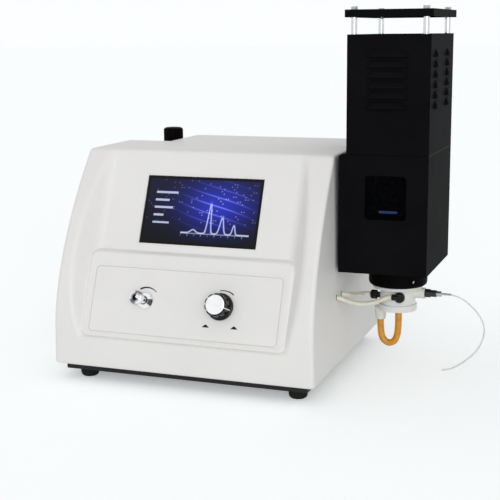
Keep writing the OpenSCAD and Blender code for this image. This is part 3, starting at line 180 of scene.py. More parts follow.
# The same plate on the fine valve, with a painted reflection: bands from near black to bright kept
# as a colour on the piece, standing for the dark side of a room, since the pale studio has nothing dark to
# mirror.
chrome_painted_reflection = finish(
    "chrome_painted_reflection", "#e4e5e8", "#d8dadd", 0.12, 2.5, 0.004, 0.25, 10, spread=0.03, Metallic=1.0)
painted_reflection_colour = add(chrome_painted_reflection, "VertexColor", {"layer_name": "bands"})
painted_reflection_surface = next(n for n in chrome_painted_reflection.node_tree.nodes if n.type == "BSDF_PRINCIPLED")
chrome_painted_reflection.node_tree.links.new(painted_reflection_colour.outputs["Color"], painted_reflection_surface.inputs["Base Color"])
# Turned stainless steel: satin, slightly warm.
turned_steel = finish(
    "turned_stainless", "#bcbcbe", "#a9a9ac", 0.27, 0.5, 0.008, 0.2, 8, Metallic=1.0)
# Zinc-plated sheet: dull silver with a faint spangle.
zinc_plate = finish("zinc_plate", "#b4b6ba", "#a3a6ab", 0.42, 2.5, 0.02, 0.3, 9, Metallic=1.0)
# Machined brass: yellow, lightly tarnished in patches.
machined_brass = finish(
    "machined_brass", "#c9a45c", "#b08c49", 0.3, 0.5, 0.008, 0.25, 7, Metallic=1.0)
# Solder-masked circuit board: semi-gloss green.
solder_mask = finish("solder_mask_green", "#1d5b38", "#17482d", 0.32, 0.8, 0.02, 0.1, 12)
# Black anodised optics: matt charcoal.
anodised_black = finish(
    "anodised_black", "#17171a", "#101012", 0.6, 0.3, 0.01, 0.3, 25, Specular_IOR_Level=0.3)
# Glazed alumina rod of the igniter: cream and glossy.
alumina = finish("glazed_alumina", "#e4ddca", "#d6ceb9", 0.25, 1.0, 0.01, 0.3, 10)
# Acetal of the collar and the regulator's knob: soft black, low sheen; also used for the painted shadow line
# at the tower's seam.
acetal_black = finish(
    "acetal_black", "#070708", "#040405", 0.5, 0.6, 0.012, 0.8, 18, IOR=1.35, Specular_IOR_Level=0.05)
# Polypropylene of the spray chamber: milky and part see-through, light lost in its walls.
milky_polypropylene = finish(
    "milky_polypropylene", "#f3f2f0", "#eae8e4", 0.3, 1.5, 0.003, 0.6, 40, IOR=1.49,
    Transmission_Weight=0.15, Subsurface_Weight=0.4, Subsurface_Scale=0.004)
# PTFE nebuliser body: waxy white.
waxy_ptfe = finish(
    "waxy_ptfe", "#e9e8e2", "#dcdad2", 0.38, 1.2, 0.015, 0.5, 8, Subsurface_Weight=0.2,
    Subsurface_Scale=0.002)
# Soft PVC hose: ivory, a little cloudy.
ivory_pvc = finish(
    "ivory_pvc_hose", "#e8e5d8", "#dcd8c6", 0.3, 2.0, 0.01, 0.2, 8, Subsurface_Weight=0.25,
    Subsurface_Scale=0.002, Coat_Weight=0.2)
# Natural latex tube: amber, light glowing through its wall.
amber_latex = finish(
    "amber_latex", "#dd9a26", "#c17d12", 0.36, 1.4, 0.02, 0.2, 9, Subsurface_Weight=0.15,
    Subsurface_Scale=0.003, Coat_Weight=0.15)
# FEP capillary: thin clear tube that reads as a pale grey line.
clear_fep = finish(
    "clear_fep", "#f2f4f5", "#e2e6e8", 0.25, 3.0, 0.005, 0.05, 20, IOR=1.34, Transmission_Weight=0.25)
# Glass-filled nylon nuts: black with a satin moulding skin.
nylon_black = finish("nylon_black", "#191918", "#111110", 0.38, 0.6, 0.02, 0.3, 6)
# Die-cast regulator body: dark grey stove enamel.
cast_enamel = finish("stove_enamel_grey", "#3a3b3e", "#313235", 0.4, 1.4, 0.05, 0.8, 20)
# Clear polycarbonate bowl: see-through with a bright rim.
clear_polycarbonate = finish(
    "clear_polycarbonate", "#eef2f3", "#e2e8ea", 0.06, 3.0, 0.01, 0.5, 20, spread=0.02, IOR=1.58,
    Transmission_Weight=0.92)
# Optical glass of the lens and filters.
optical_glass = finish(
    "optical_glass", "#eef4f6", "#e6eef1", 0.03, 4.0, 0.002, 0.2, 20, spread=0.01, IOR=1.52,
    Transmission_Weight=0.95)
# Smoked heat-proof glass in the tower's window: coated against reflections, so the window reads
# black and only the flame shows through it.
smoked_glass = finish(
    "smoked_heat_glass", "#4c5058", "#464a52", 0.05, 5.0, 0.002, 0.3, 30, spread=0.02, IOR=1.04,
    Transmission_Weight=0.98)
# Anodised aluminium bezel of the window: near black, with a sheen on its rounded edge.
bezel_black = finish(
    "anodised_bezel_black", "#0e0e10", "#0a0a0c", 0.22, 0.4, 0.006, 0.6, 20, Specular_IOR_Level=0.5)
# Gauge pointer: clean red paint.
red_enamel = finish("red_enamel", "#b02a20", "#9c231b", 0.3, 0.8, 0.01, 0.2, 8)
# Switch rocker: red nylon, a little deeper and glossier.
red_nylon = finish("red_nylon", "#a81d1a", "#931815", 0.28, 0.7, 0.012, 0.5, 9)
# White card of the gauge's dial: matt paper white.
dial_card = finish("dial_card", "#f2f2ee", "#eaeae5", 0.6, 0.4, 0.004, 0.05, 10)
# Graphite-grey housing of the display module.
module_plastic = finish("grey_housing_plastic", "#4d4e51", "#434447", 0.5, 0.8, 0.02, 0.4, 20)


def paint(material, *names):
    """Gives CAD nodes a material."""
    for name in names:
        slots = nodes[name].data.materials
        slots.clear()
        slots.append(material)


paint(powder_white, "rear_panel", "bay_panel")
paint(enamel_black, "base_tray")
paint(nitrile_rubber, "feet")
paint(turned_steel, "screws", "gas_spindle", "fine_spindle", "outlet_fittings", "needle", "regulator_screw",
      "cap_nuts", "burner_tube", "burner_head")
paint(chrome_plate, "cap_posts")
paint(machined_brass, "gas_valve_body", "fine_valve_body", "inlet_barbs")
paint(printed_film, "control_plate")
paint(module_plastic, "display_module")
paint(solder_mask, "main_board")
paint(zinc_plate, "power_supply", "optics_stand", "detectors")
paint(anodised_black, "optics_block")
paint(optical_glass, "lens_and_filters")
paint(ivory_pvc, "inner_pipes")
paint(powder_black, "tower_mount", "burner_box", "chimney_box", "rain_cap")
paint(bezel_black, "window_frame")
paint(smoked_glass, "window_glass")
paint(alumina, "igniter")
paint(acetal_black, "collar")
paint(milky_polypropylene, "spray_chamber", "chamber_foot")
paint(waxy_ptfe, "nebuliser")
paint(nylon_black, "nebuliser_nuts", "hose_fittings", "power_inlet", "fuse_drawer", "switch_frame",
      "data_port")
paint(cast_enamel, "regulator_body")
paint(clear_polycarbonate, "regulator_bowl")
paint(phenolic_black, "regulator_knob", "gauge_case")
paint(red_enamel, "gauge_pointer")
paint(red_nylon, "switch_rocker")


# ---- Making pieces ----
SQUARE = ((-1, -1), (1, -1), (1, 1), (-1, 1))  # corners of a rectangle, to be scaled


def dress(thing, body, slot, *replaced):
    """Puts a finished piece on its body and hides the CAD nodes it stands for; slot is not used."""
    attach(thing, body)
    if replaced:
        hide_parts(*replaced)
    return thing


def mesh_piece(name, points, faces, material, sharp=35):
    """A mesh from points in metres, shaded smooth up to the sharp angle."""
    mesh = bpy.data.meshes.new(name)
    mesh.from_pydata([tuple(p) for p in points], [], faces)
    mesh.validate()
    mesh.shade_smooth()
    mesh.set_sharp_from_angle(angle=math.radians(sharp))
    mesh.materials.append(material)
    thing = bpy.data.objects.new(name, mesh)
    bpy.context.scene.collection.objects.link(thing)
    return thing


def solidified(thing, thickness, sharp=35):
    """Gives a skin its wall, thickness millimetres inward, as real faces."""
    wall = thing.modifiers.new("wall", "SOLIDIFY")
    wall.thickness = thickness / 1000
    wall.offset = -1
    wall.use_even_offset = True
    bpy.context.view_layer.update()
    thick = bpy.data.meshes.new_from_object(thing.evaluated_get(bpy.context.evaluated_depsgraph_get()))
    thing.modifiers.clear()
    thing.data = thick
    thick.shade_smooth()
    thick.set_sharp_from_angle(angle=math.radians(sharp))
    return thing


def smooth_line(route, steps):
    """Points on a smooth line through a route, steps to each stretch."""
    points = [Vector(p) for p in route]
    line = []
    for i in range(len(points) - 1):
        a, b, c, d = points[max(i - 1, 0)], points[i], points[i + 1], points[min(i + 2, len(points) - 1)]
        line += [0.5 * (2 * b + (c - a) * t + (2 * a - 5 * b + 4 * c - d) * t * t
                        + (3 * b - a - 3 * c + d) * t ** 3) for t in (k / steps for k in range(steps))]
    return line + [points[-1]]


def hose(name, route, diameter, material, steps=6):
    """A round hose along a route in machine millimetres, as a curve with closed ends."""
    line = [at(*p) for p in smooth_line(route, steps)]
    curve = bpy.data.curves.new(name, "CURVE")
    curve.dimensions = "3D"
    curve.bevel_depth = diameter / 2000
    curve.bevel_resolution = 6
    curve.use_fill_caps = True
    spline = curve.splines.new("POLY")
    spline.points.add(len(line) - 1)
    for point, place in zip(spline.points, line):
        point.co = (*place, 1)
    curve.materials.append(material)
    thing = bpy.data.objects.new(name, curve)
    bpy.context.scene.collection.objects.link(thing)
    return thing, line


def rounded_corners(profile, radius, steps=4):
    """A profile of (r, z) points with each inner corner replaced by an arc of about that radius."""
    points = [Vector(p) for p in profile]
    out = [points[0]]
    for before, here, after in zip(points, points[1:], points[2:]):
        to_a, to_b = before - here, after - here
        cut = min(radius, to_a.length * 0.45, to_b.length * 0.45)
        a, b = here + to_a.normalized() * cut, here + to_b.normalized() * cut
        out += [a * (1 - t) ** 2 + here * 2 * t * (1 - t) + b * t * t
                for t in (k / steps for k in range(steps + 1))]
    return out + [points[-1]]


def turned(name, profile, origin, axis, material, around=96, lobes=None, sharp=35):
    """A turned piece: (r, z) profile about an axis. lobes(r, z, angle) may change the radius."""
    axis = Vector(axis).normalized()
    upright = abs(axis.z) > 0.99
    side = (axis.orthogonal() if upright else Vector((0, 0, 1)).cross(axis)).normalized()
    up = axis.cross(side)
    points, faces = [], []
    for r, z in profile:
        for k in range(around):
            angle = math.tau * k / around
            reach = lobes(r, z, angle) if lobes else r
            points.append(at(*(Vector(origin) + axis * z + side * reach * math.cos(angle)
                               + up * reach * math.sin(angle))))
    for i in range(len(profile) - 1):
        for k in range(around):
            a, b = i * around + k, i * around + (k + 1) % around
            faces.append((a, b, b + around, a + around))
    if profile[0][0] > 0.01:
        faces.append(tuple(range(around - 1, -1, -1)))
    if profile[-1][0] > 0.01:
        faces.append(tuple(range((len(profile) - 1) * around, len(profile) * around)))
    return mesh_piece(name, points, faces, material, sharp)


# ---- Sample capillary: free, bare at its far end; the route is the one of its CAD solid ----
needle_low, needle_high = span("needle")
needle_axis = (needle_low + needle_high) / 2
CAPILLARY_D = 2.0
capillary_route = [
    (needle_high.x, needle_axis.y, needle_axis.z), (314, 176, 106), (323, 177, 102.2), (333, 178, 94.5),
    (341, 179, 86), (348, 180, 75), (351, 181, 63), (349, 183, 50), (343, 186, 36), (333, 189, 23),
    (321, 192, 12), (311, 193, 5), (303, 192, 2), (296, 189, 1)]
capillary, capillary_line = hose("sample_capillary", capillary_route, CAPILLARY_D, clear_fep)
dress(capillary, "machine", "capillary_clear", "capillary")

# ---- Case: one moulded skin, drawn as the distance back from the front at each width and height ----
case_low, case_high = span("case_shell")
CASE_TOP = case_high.z
CASE_LOW = case_low.z
CASE_BACK = case_high.y
HALF_W = case_high.x
BAY_X = HALF_W * -1 + 73  # the open bay's inner wall, then its front wall
BAY_Y = CASE_BACK - 98
SIDE_LEAN = 6.0
WALL = 3.0
BELLY_Z = 68.0
CHEEK_LEAN = 106.0
CHEEK_POWER = 1.75
FACE_Y, FACE_Z, FACE_TILT = 76.7, 217.4, math.radians(23.75)
FACE_HALF = 133.0
HOLLOW_SLOPE = math.tan(math.radians(40)) * math.cos(FACE_TILT)
HOLLOW_FOOT = 59.5
PANEL_Y, PANEL_Z, PANEL_TILT = 19.4, 107.5, math.radians(22)
BLOCK_HALF, BLOCK_LOW, BLOCK_TOP, BLOCK_CORNER = 139.5, 61.0, 165.0, 10.0
BLOCK_EDGE = 3.2
CORNER_R = 5.0
TOP_R = 3.5
FOOT_R = 2.5
LIP = 24.0  # the foot turned in under the case
EVEN_X = 152.0  # the front's grid is even up to here, then stretches to the corners
# how softly the front's surfaces run into one another
HOLLOW_BLEND, SILL_BLEND, CHEEK_BLEND, BLOCK_BLEND = 9, 6, 6, 2.5
SILL_SLOPE, BLOCK_SLOPE = 3, 9


def soft_min(a, b, k):
    """The lower of two surfaces, blended over k where they cross."""
    h = np.clip(0.5 + 0.5 * (b - a) / k, 0, 1)
    return b * (1 - h) + a * h - k * h * (1 - h)


def soft_max(a, b, k):
    """The higher of two surfaces, blended over k where they cross."""
    return -soft_min(-a, -b, k)


def half_width(z):
    """Half the case's width at a height: its sides lean in a little."""
    return HALF_W - SIDE_LEAN * (z - CASE_LOW) / (CASE_TOP - CASE_LOW)


def front_y(x, z):
    """How far back the case's front lies: cheeks, the hollow between them, and the raised block."""
    x, z = np.abs(np.asarray(x, float)), np.asarray(z, float)
    cheek = CHEEK_LEAN * np.clip((z - BELLY_Z) / (CASE_TOP - BELLY_Z), 0, None) ** CHEEK_POWER
    floor = FACE_Y + math.tan(FACE_TILT) * (z - FACE_Z)
    hollow = soft_min(floor, floor - (x - FACE_HALF) / HOLLOW_SLOPE, HOLLOW_BLEND)
    hollow = soft_min(hollow, SILL_SLOPE * (z - HOLLOW_FOOT), SILL_BLEND)
    case = soft_max(cheek, hollow, CHEEK_BLEND)
    # distance outside the block's rounded outline, below zero inside it
    dx = x - (BLOCK_HALF - BLOCK_CORNER)
    dz = np.abs(z - (BLOCK_LOW + BLOCK_TOP) / 2) - ((BLOCK_TOP - BLOCK_LOW) / 2 - BLOCK_CORNER)
    outside = (np.hypot(np.clip(dx, 0, None), np.clip(dz, 0, None))
               + np.clip(np.maximum(dx, dz), None, 0) - BLOCK_CORNER)
    bend = np.clip(outside + BLOCK_EDGE, 0, BLOCK_EDGE)
    fall = (BLOCK_EDGE - np.sqrt(np.clip(BLOCK_EDGE ** 2 - bend ** 2, 0, None))
            + BLOCK_SLOPE * np.clip(outside, 0, None))
    block = PANEL_Y + math.tan(PANEL_TILT) * (z - PANEL_Z) + fall
    return soft_min(case, block, BLOCK_BLEND)


plate_low, plate_high = span("control_plate")
PLATE_W = plate_high.x - plate_low.x
PLATE_H = 84.0
PLATE_T = 1.2
GROOVE = 0.9
PLATE_CORNER = 5.0
INSERT_W = PLATE_W + 8
INSERT_H = PLATE_H + 7.2
panel_up = Vector((0, math.sin(PANEL_TILT), math.cos(PANEL_TILT)))
panel_out = Vector((0, -math.cos(PANEL_TILT), math.sin(PANEL_TILT)))
face_up = Vector((0, math.sin(FACE_TILT), math.cos(FACE_TILT)))
face_out = Vector((0, -math.cos(FACE_TILT), math.sin(FACE_TILT)))
GLASS_X = (span("display_glass")[0].x + span("display_glass")[1].x) / 2
GLASS_W, GLASS_H, GLASS_DROP = 161.0, 91.0, 0.8
RIM = 1.7


def on_panel(x, up, out=0.0):
    """A point on the control face: x across, up the face and out of it."""
    return Vector((x, PANEL_Y, PANEL_Z)) + panel_up * up + panel_out * out


def on_face(x, up, out=0.0):
    """A point on the display face, from the middle of the touch panel's height."""
    return Vector((x, FACE_Y, FACE_Z)) + face_up * up + face_out * out


def lines(stops, marks=()):
    """Grid lines from a list of (start, pitch) stops to the last stop, with exact marks put in."""
    out = []
    for (a, pitch), (b, _) in zip(stops, stops[1:]):
        count = max(1, round((b - a) / pitch))
        out += [a + (b - a) * k / count for k in range(count)]
    out.append(stops[-1][0])
    kept = [v for v in out if all(abs(v - m) > 0.35 for m in marks)]
    return sorted(kept + list(marks))


def case_skin():
    """The moulded case, as rings of points from its foot up to its top."""
    insert_z = [PANEL_Z + s * INSERT_H / 2 * math.cos(PANEL_TILT) for s in (-1, 1)]
    window_x = [GLASS_X + s * (GLASS_W / 2 + 0.3) for s in (-1, 1)]
    window_z = [FACE_Z + s * (GLASS_H / 2 + 0.3) * math.cos(FACE_TILT) for s in (-1, 1)]
    inner = lines([(-EVEN_X, 1), (-126, 4), (126, 1), (EVEN_X, 1)],
                  [-INSERT_W / 2, INSERT_W / 2, *window_x])
    heights = lines([(CASE_LOW + FOOT_R, 4), (56, 0.7), (74, 3), (158, 0.45), (170, 3),
                     (CASE_TOP - TOP_R, 1)], [*insert_z, *window_z])
    edge_steps, side_steps, corner_steps = 5, 14, 6
    rows = [(CASE_LOW, LIP)]
    rows += [(CASE_LOW + FOOT_R * (1 - math.sin(a)), FOOT_R * (1 - math.cos(a)))
             for a in (math.radians(90 - 22.5 * k) for k in range(4))]
    rows += [(z, 0.0) for z in heights]
    rows += [(CASE_TOP - TOP_R + TOP_R * math.sin(a), TOP_R * (1 - math.cos(a)))
             for a in (math.radians(18 * k) for k in range(1, edge_steps + 1))]
    points, width = [], 0
    for z, inset in rows:
        half = half_width(z) - inset
        out = [half - CORNER_R - (half - CORNER_R - EVEN_X) * k / 5 for k in range(5)]
        xs = np.array([-v for v in out] + inner + out[::-1])
        front = front_y(xs, np.full(len(xs), z)) + inset
        ring = [(-half, y) for y in np.linspace(BAY_Y, front[0] + CORNER_R + 0.2, side_steps)]
        ring += [(-half + CORNER_R - CORNER_R * math.cos(a), front[0] + CORNER_R - CORNER_R * math.sin(a))
                 for a in (math.radians(15 * k) for k in range(corner_steps))]
        ring += list(zip(xs, front))
        ring += [(half - CORNER_R + CORNER_R * math.sin(a), front[-1] + CORNER_R - CORNER_R * math.cos(a))
                 for a in (math.radians(15 * k) for k in range(1, 7))]
        ring += [(half, y) for y in np.linspace(front[-1] + CORNER_R + 0.2, CASE_BACK, 18)]
        width = len(ring)
        points += [at(x, y, z) for x, y in ring]
    first = side_steps + corner_steps
    faces = []
    for i in range(len(rows) - 1):
        z = (rows[i][0] + rows[i + 1][0]) / 2
        for k in range(width - 1):
            if first <= k < first + len(xs) - 1:
                x = (xs[k - first] + xs[k - first + 1]) / 2
                if insert_z[0] < z < insert_z[1] and abs(x) < INSERT_W / 2:
                    continue
                if window_z[0] < z < window_z[1] and window_x[0] < x < window_x[1]:
                    continue
            a = i * width + k
            faces.append((a, a + 1, a + 1 + width, a + width))
    top = (len(rows) - 1) * width
    points += [at(BAY_X, CASE_BACK, CASE_TOP), at(BAY_X, BAY_Y, CASE_TOP)]
    faces.append(tuple(range(top, top + width)) + (len(points) - 2, len(points) - 1))
    return mesh_piece("case_moulding", points, faces, moulded_abs)


dress(solidified(case_skin(), WALL, 28), "machine", "case_white", "case_shell")


def rounded_rectangle(width, height, radius, steps=8):
    """Corners of a rounded rectangle about the middle, anticlockwise from the lower right."""
    out = []
    for cx, cy, start in ((1, -1, -90), (1, 1, 0), (-1, 1, 90), (-1, -1, 180)):
        for k in range(steps + 1):
            a = math.radians(start + 90 * k / steps)
            out.append((cx * (width / 2 - radius) + radius * math.cos(a),
                        cy * (height / 2 - radius) + radius * math.sin(a)))
    return out


def frame_piece(name, place, loops, material, closed=False, sharp=35):
    """A flat frame: loops are (width, height, corner radius, out) from its outer edge inward."""
    points, faces, count = [], [], 0
    for width, height, radius, out in loops:
        ring = rounded_rectangle(width, height, radius)
        count = len(ring)
        points += [at(*place(x, y, out)) for x, y in ring]
    for i in range(len(loops) - 1):
        for k in range(count):
            a, b = i * count + k, i * count + (k + 1) % count
            faces.append((a, b, b + count, a + count))
    if closed:
        faces.append(tuple(range((len(loops) - 1) * count, len(loops) * count)))
    return mesh_piece(name, points, faces, material, sharp)


# The case's face around the control plate, with the fine rounded groove that the plate sits in.
groove_w, groove_h = PLATE_W + 2 * GROOVE, PLATE_H + 2 * GROOVE
dress(frame_piece("plate_surround", on_panel, [
    (INSERT_W, INSERT_H, 0.01, -2.5), (INSERT_W, INSERT_H, 0.01, 0),
    (groove_w + 0.6, groove_h + 0.6, PLATE_CORNER + GROOVE + 0.3, 0),
    (groove_w + 0.2, groove_h + 0.2, PLATE_CORNER + GROOVE + 0.1, -0.08),
    (groove_w, groove_h, PLATE_CORNER + GROOVE, -0.3),
    (groove_w, groove_h, PLATE_CORNER + GROOVE, -PLATE_T),
    (PLATE_W - 2, PLATE_H - 2, PLATE_CORNER, -PLATE_T)], moulded_abs), "machine", "case_white")


def on_screen(x, up, out=0.0):
    """A point on the display face, from the middle of the touch panel."""
    return on_face(GLASS_X + x, up, out)


# Thin raised rim around the touch panel.
dress(frame_piece("screen_rim", on_screen, [
    (GLASS_W + 2 * RIM + 1.6, GLASS_H + 2 * RIM + 1.6, 2.6, -0.6),
    (GLASS_W + 2 * RIM + 1.2, GLASS_H + 2 * RIM + 1.2, 2.5, 0.2),
    (GLASS_W + 2 * RIM + 0.6, GLASS_H + 2 * RIM + 0.6, 2.2, 0.7),
    (GLASS_W + RIM + 0.6, GLASS_H + RIM + 0.6, 1.6, 0.8),
    (GLASS_W + 0.8, GLASS_H + 0.8, 0.9, 0.55), (GLASS_W + 0.3, GLASS_H + 0.3, 0.8, 0.1),
    (GLASS_W + 0.3, GLASS_H + 0.3, 0.8, -GLASS_DROP - 1)], moulded_abs), "machine", "case_white")


# ---- Touch panel: black-backed glass with a generic measuring picture that glows under it ----
def bell(x, middle, width):
    """A smooth hump of height 1."""
    return np.exp(-((x - middle) / width) ** 2)


def screen_colours(u, v):
    """Linear colours of the picture at u across and v up, both from 0 to 1: a blue glow on black,
    a line of emission peaks over a ruled base line, blank readout bars and a field of small dots."""
    night, dusk, blue, pale = (np.array(linear(c)[:3])
                               for c in ("#0c0c10", "#1b1c34", "#2430b8", "#d6e0ff"))
    glow = np.exp(-(((u - 0.64) / 0.27) ** 2 + ((v - 0.60) / 0.32) ** 2))
    rays = np.clip(np.sin(34 * (u * 0.9 + v * 1.3) + 2.2 * np.sin(5 * u)), 0, 1) ** 6 * glow
    peaks = (0.16 + 0.44 * bell(u, 0.585, 0.018) + 0.25 * bell(u, 0.70, 0.022)
             + 0.14 * bell(u, 0.81, 0.016) + 0.05 * bell(u, 0.45, 0.03))
    steep = np.gradient(peaks, axis=1) / np.gradient(u, axis=1) * GLASS_H / GLASS_W
    off_line = np.abs(v - peaks) * GLASS_H / np.sqrt(1 + steep ** 2)
    plotted = (u > 0.34) * (u < 0.95)
    on_line = np.exp(-(off_line / 0.75) ** 2) * plotted
    under = (v < peaks) * (v > 0.16) * plotted * (v / 0.7)
    base = (np.abs(v - 0.15) < 0.006) * plotted
    ticks = (np.abs(v - 0.125) < 0.018) * (np.abs((u - 0.34) / 0.061 % 1 - 0.5) > 0.46) * plotted
    bars = sum((np.abs(v - (0.78 - 0.12 * i)) < 0.016) * (u > 0.07) * (u < 0.07 + w)
               for i, w in enumerate((0.20, 0.13, 0.17, 0.09, 0.15)))
    cell_u, cell_v = np.floor(u * 46), np.floor(v * 26)
    chance = np.abs(np.sin(cell_u * 12.9898 + cell_v * 78.233) * 43758.5453) % 1
    spot = np.exp(-(((u * 46) % 1 - 0.5) ** 2 + ((v * 26) % 1 - 0.5) ** 2) / 0.03)
    dots = spot * (chance > 0.86) * (0.25 + glow) * (v > 0.3)
    amounts = ((glow * 0.95 + rays * 0.9, blue), (rays * rays * 0.25, pale), (under * 0.45, blue),
               (on_line * 0.9, pale), (base * 0.35, pale), (ticks * 0.35, pale), (bars * 0.75, pale),
               (dots * 0.8, pale))
    colour = night + (dusk - night) * v[..., None]
    for amount, tint in amounts:
        colour = colour + np.asarray(amount, float)[..., None] * tint
    return np.clip(colour, 0, 1)


def display_picture():
    """The lit area: a fine grid just above the glass's black backing, coloured point by point."""
    across, up = 320, 180
    lit_w, lit_h = GLASS_W - 7.5, GLASS_H - 7
    us, vs = np.linspace(0, 1, across + 1), np.linspace(0, 1, up + 1)
    points = [at(*on_screen((u - 0.5) * lit_w, (v - 0.5) * lit_h, -GLASS_DROP + 0.06))
              for v in vs for u in us]
    starts = [j * (across + 1) + i for j in range(up) for i in range(across)]
    faces = [(a, a + 1, a + across + 2, a + across + 1) for a in starts]
    material = bare_material("lit_touch_display")
    picture = add(material, "VertexColor", {"layer_name": "picture"})
    place = add(material, "TexCoord")
    smudge = add(material, "TexNoise", {"Scale": 1000 / 18, "Detail": 3.0},
                 {"Vector": (place, "Object")})
    gloss = add(material, "MapRange", {"To Min": 0.04, "To Max": 0.14}, {"Value": (smudge, "Fac")})
    surface = add(material, "BsdfPrincipled",
                  {"Base Color": linear("#08080a"), "Emission Strength": 0.95, "Specular IOR Level": 0.12},
                  {"Emission Color": (picture, "Color"), "Roughness": (gloss, "Result")})
    add(material, "OutputMaterial", links={"Surface": (surface, "BSDF")})
    thing = mesh_piece("display_picture", points, faces, material)
    grid_u, grid_v = np.meshgrid(us, vs)
    colours = screen_colours(grid_u, grid_v).reshape(-1, 3)
    layer = thing.data.color_attributes.new("picture", "FLOAT_COLOR", "POINT")
    layer.data.foreach_set("color", np.c_[colours, np.ones(len(colours))].ravel())
    return thing


# Black-backed touch glass: a deep gloss black border around the lit area.
touch_glass = finish(
    "black_backed_glass", "#0b0b0e", "#09090c", 0.08, 6.0, 0.002, 0.3, 30, spread=0.03,
    Specular_IOR_Level=0.15)
dress(frame_piece("touch_glass", on_screen, [
    (GLASS_W, GLASS_H, 1.0, -GLASS_DROP - 2.2), (GLASS_W, GLASS_H, 1.0, -GLASS_DROP - 0.25),
    (GLASS_W - 0.5, GLASS_H - 0.5, 0.9, -GLASS_DROP)], touch_glass, closed=True),
    "machine", "screen_glass", "display_glass")
dress(display_picture(), "machine", "screen_glass")

# ---- Control plate's print: plain arcs over the knobs and two half-round marks, no words ----
FINE_X, GAS_X, VALVE_UP = -52.0, 50.5, 1.0
INK = 0.08


def strip(count):
    """Faces of a strip whose points come in pairs."""
    return [(2 * k, 2 * k + 1, 2 * k + 3, 2 * k + 2) for k in range(count)]


def printed_arc(name, x, radius, start, end, thick, thin):
    """A flat arc around a valve, thick at its start and thin at its end."""
    count = 36
    points = []
    for k in range(count + 1):
        t = k / count
        angle = math.radians(start + (end - start) * t)
        half = (thick + (thin - thick) * t) / 2
        for r in (radius - half, radius + half):
            points.append(at(*on_panel(x + r * math.cos(angle), r * math.sin(angle), INK)))
    return mesh_piece(name, points, strip(count), printed_ink)


def printed_mark(name, x, up, half, height):
    """A low half-round mark with drawn-out ends, which shows where the knob's line points."""
    count = 24
    across = [x + half * (2 * k / count - 1) for k in range(count + 1)]
    rises = [up + 0.05 + height * math.cos(math.pi * (k / count - 0.5)) ** 1.6 for k in range(count + 1)]
    points = [at(*on_panel(place, up, INK)) for place in across]
    points += [at(*on_panel(place, rise, INK)) for place, rise in zip(across, rises)]
    faces = [(k, k + 1, k + count + 2, k + count + 1) for k in range(count)]
    return mesh_piece(name, points, faces, printed_ink)


dress(printed_arc("fine_arc", FINE_X, 18.5, 122, 46, 2.4, 0.9), "machine", "plate_white")
dress(printed_arc("gas_arc", GAS_X + 1.5, 21.8, 104, 52, 1.0, 1.5), "machine", "plate_white")
dress(printed_mark("mark_low", 33.1, -25.8, 5.2, 3.6), "machine", "plate_white")
dress(printed_mark("mark_high", 70.9, -25.2, 5.2, 3.6), "machine", "plate_white")

# ---- Knobs ----
KNOB_GAP = 2.4
GAS_H = 19.5
GAS_SKIRT_R, GAS_R, GAS_CAP_R = 17.25, 14.9, 12.25
GAS_LOBES = 10
LINE_ANGLE = math.radians(-15)


def gas_lobes(r, z, angle):
    """Ten finger hollows around the body, none on the skirt or the top face."""
    if z < 3.6 or r < 12.5:
        return r
    hollow = max(0.0, math.cos(GAS_LOBES * angle)) ** 1.5
    return r - 1.5 * hollow * min(1, (z - 3.6) / 1.2)


gas_profile = rounded_corners([
    (8, 0), (GAS_SKIRT_R, 0), (GAS_SKIRT_R - 0.2, 2.6), (GAS_R, 3.4), (GAS_R - 0.2, 5),
    (GAS_R - 0.6, GAS_H - 1.0), (GAS_R - 1.3, GAS_H), (GAS_CAP_R + 0.3, GAS_H),
    (GAS_CAP_R + 0.1, GAS_H - 0.5), (2, GAS_H - 0.5)], 0.7)
gas_at = on_panel(GAS_X, VALVE_UP, KNOB_GAP)
dress(turned("gas_knob_body", gas_profile, gas_at, panel_out, phenolic_black, 200, gas_lobes),
      "gas_knob", "knob_black", "gas_knob")
dress(turned("gas_knob_disc", rounded_corners([
    (GAS_CAP_R, -0.4), (GAS_CAP_R, 0.6), (GAS_CAP_R - 1.2, 0.8), (5, 0.78), (0.005, 0.78)], 0.3),
             on_panel(GAS_X, VALVE_UP, KNOB_GAP + GAS_H - 0.4), panel_out, cap_aluminium, 120),
      "gas_knob", "cap_silver", "gas_knob_cap")


def pointer_line():
    """White line down the knob from the cap's edge over its side."""
    side, up = Vector((1, 0, 0)), panel_up
    ray = side * math.cos(LINE_ANGLE) + up * math.sin(LINE_ANGLE)
    across = up * math.cos(LINE_ANGLE) - side * math.sin(LINE_ANGLE)
    path = [(GAS_CAP_R + 0.1, GAS_H + 0.06), (GAS_R - 1.3, GAS_H + 0.06), (GAS_R - 0.5, GAS_H - 0.9),
            (GAS_R - 0.1, 5.2), (GAS_R + 0.1, 3.9)]
    points = [at(*(gas_at + ray * r + panel_out * z + across * s * 0.55)) for r, z in path for s in (-1, 1)]
    return mesh_piece("gas_knob_line", points, strip(len(path) - 1), dial_card)


dress(pointer_line(), "gas_knob", "knob_black")


def paint_reflection(thing, count, around, rule):
    """Paints a reflection into a turned piece's colour, between near black and bright by rule(ring, angle),
    from 0 to 1.
    """
    dark, bright = np.array(linear("#0c0c0e")), np.array(linear("#f0f1f3"))
    layer = thing.data.color_attributes.new("bands", "FLOAT_COLOR", "POINT")
    amounts = [rule(ring / (count - 1), math.tau * k / around)
               for ring in range(count) for k in range(around)]
    layer.data.foreach_set("color", np.concatenate([dark + (bright - dark) * a for a in amounts]))
    return thing


def smooth_step(value, low, high):
    """0 below low, 1 above high and a smooth rise between."""
    t = min(1.0, max(0.0, (value - low) / (high - low)))
    return t * t * (3 - 2 * t)


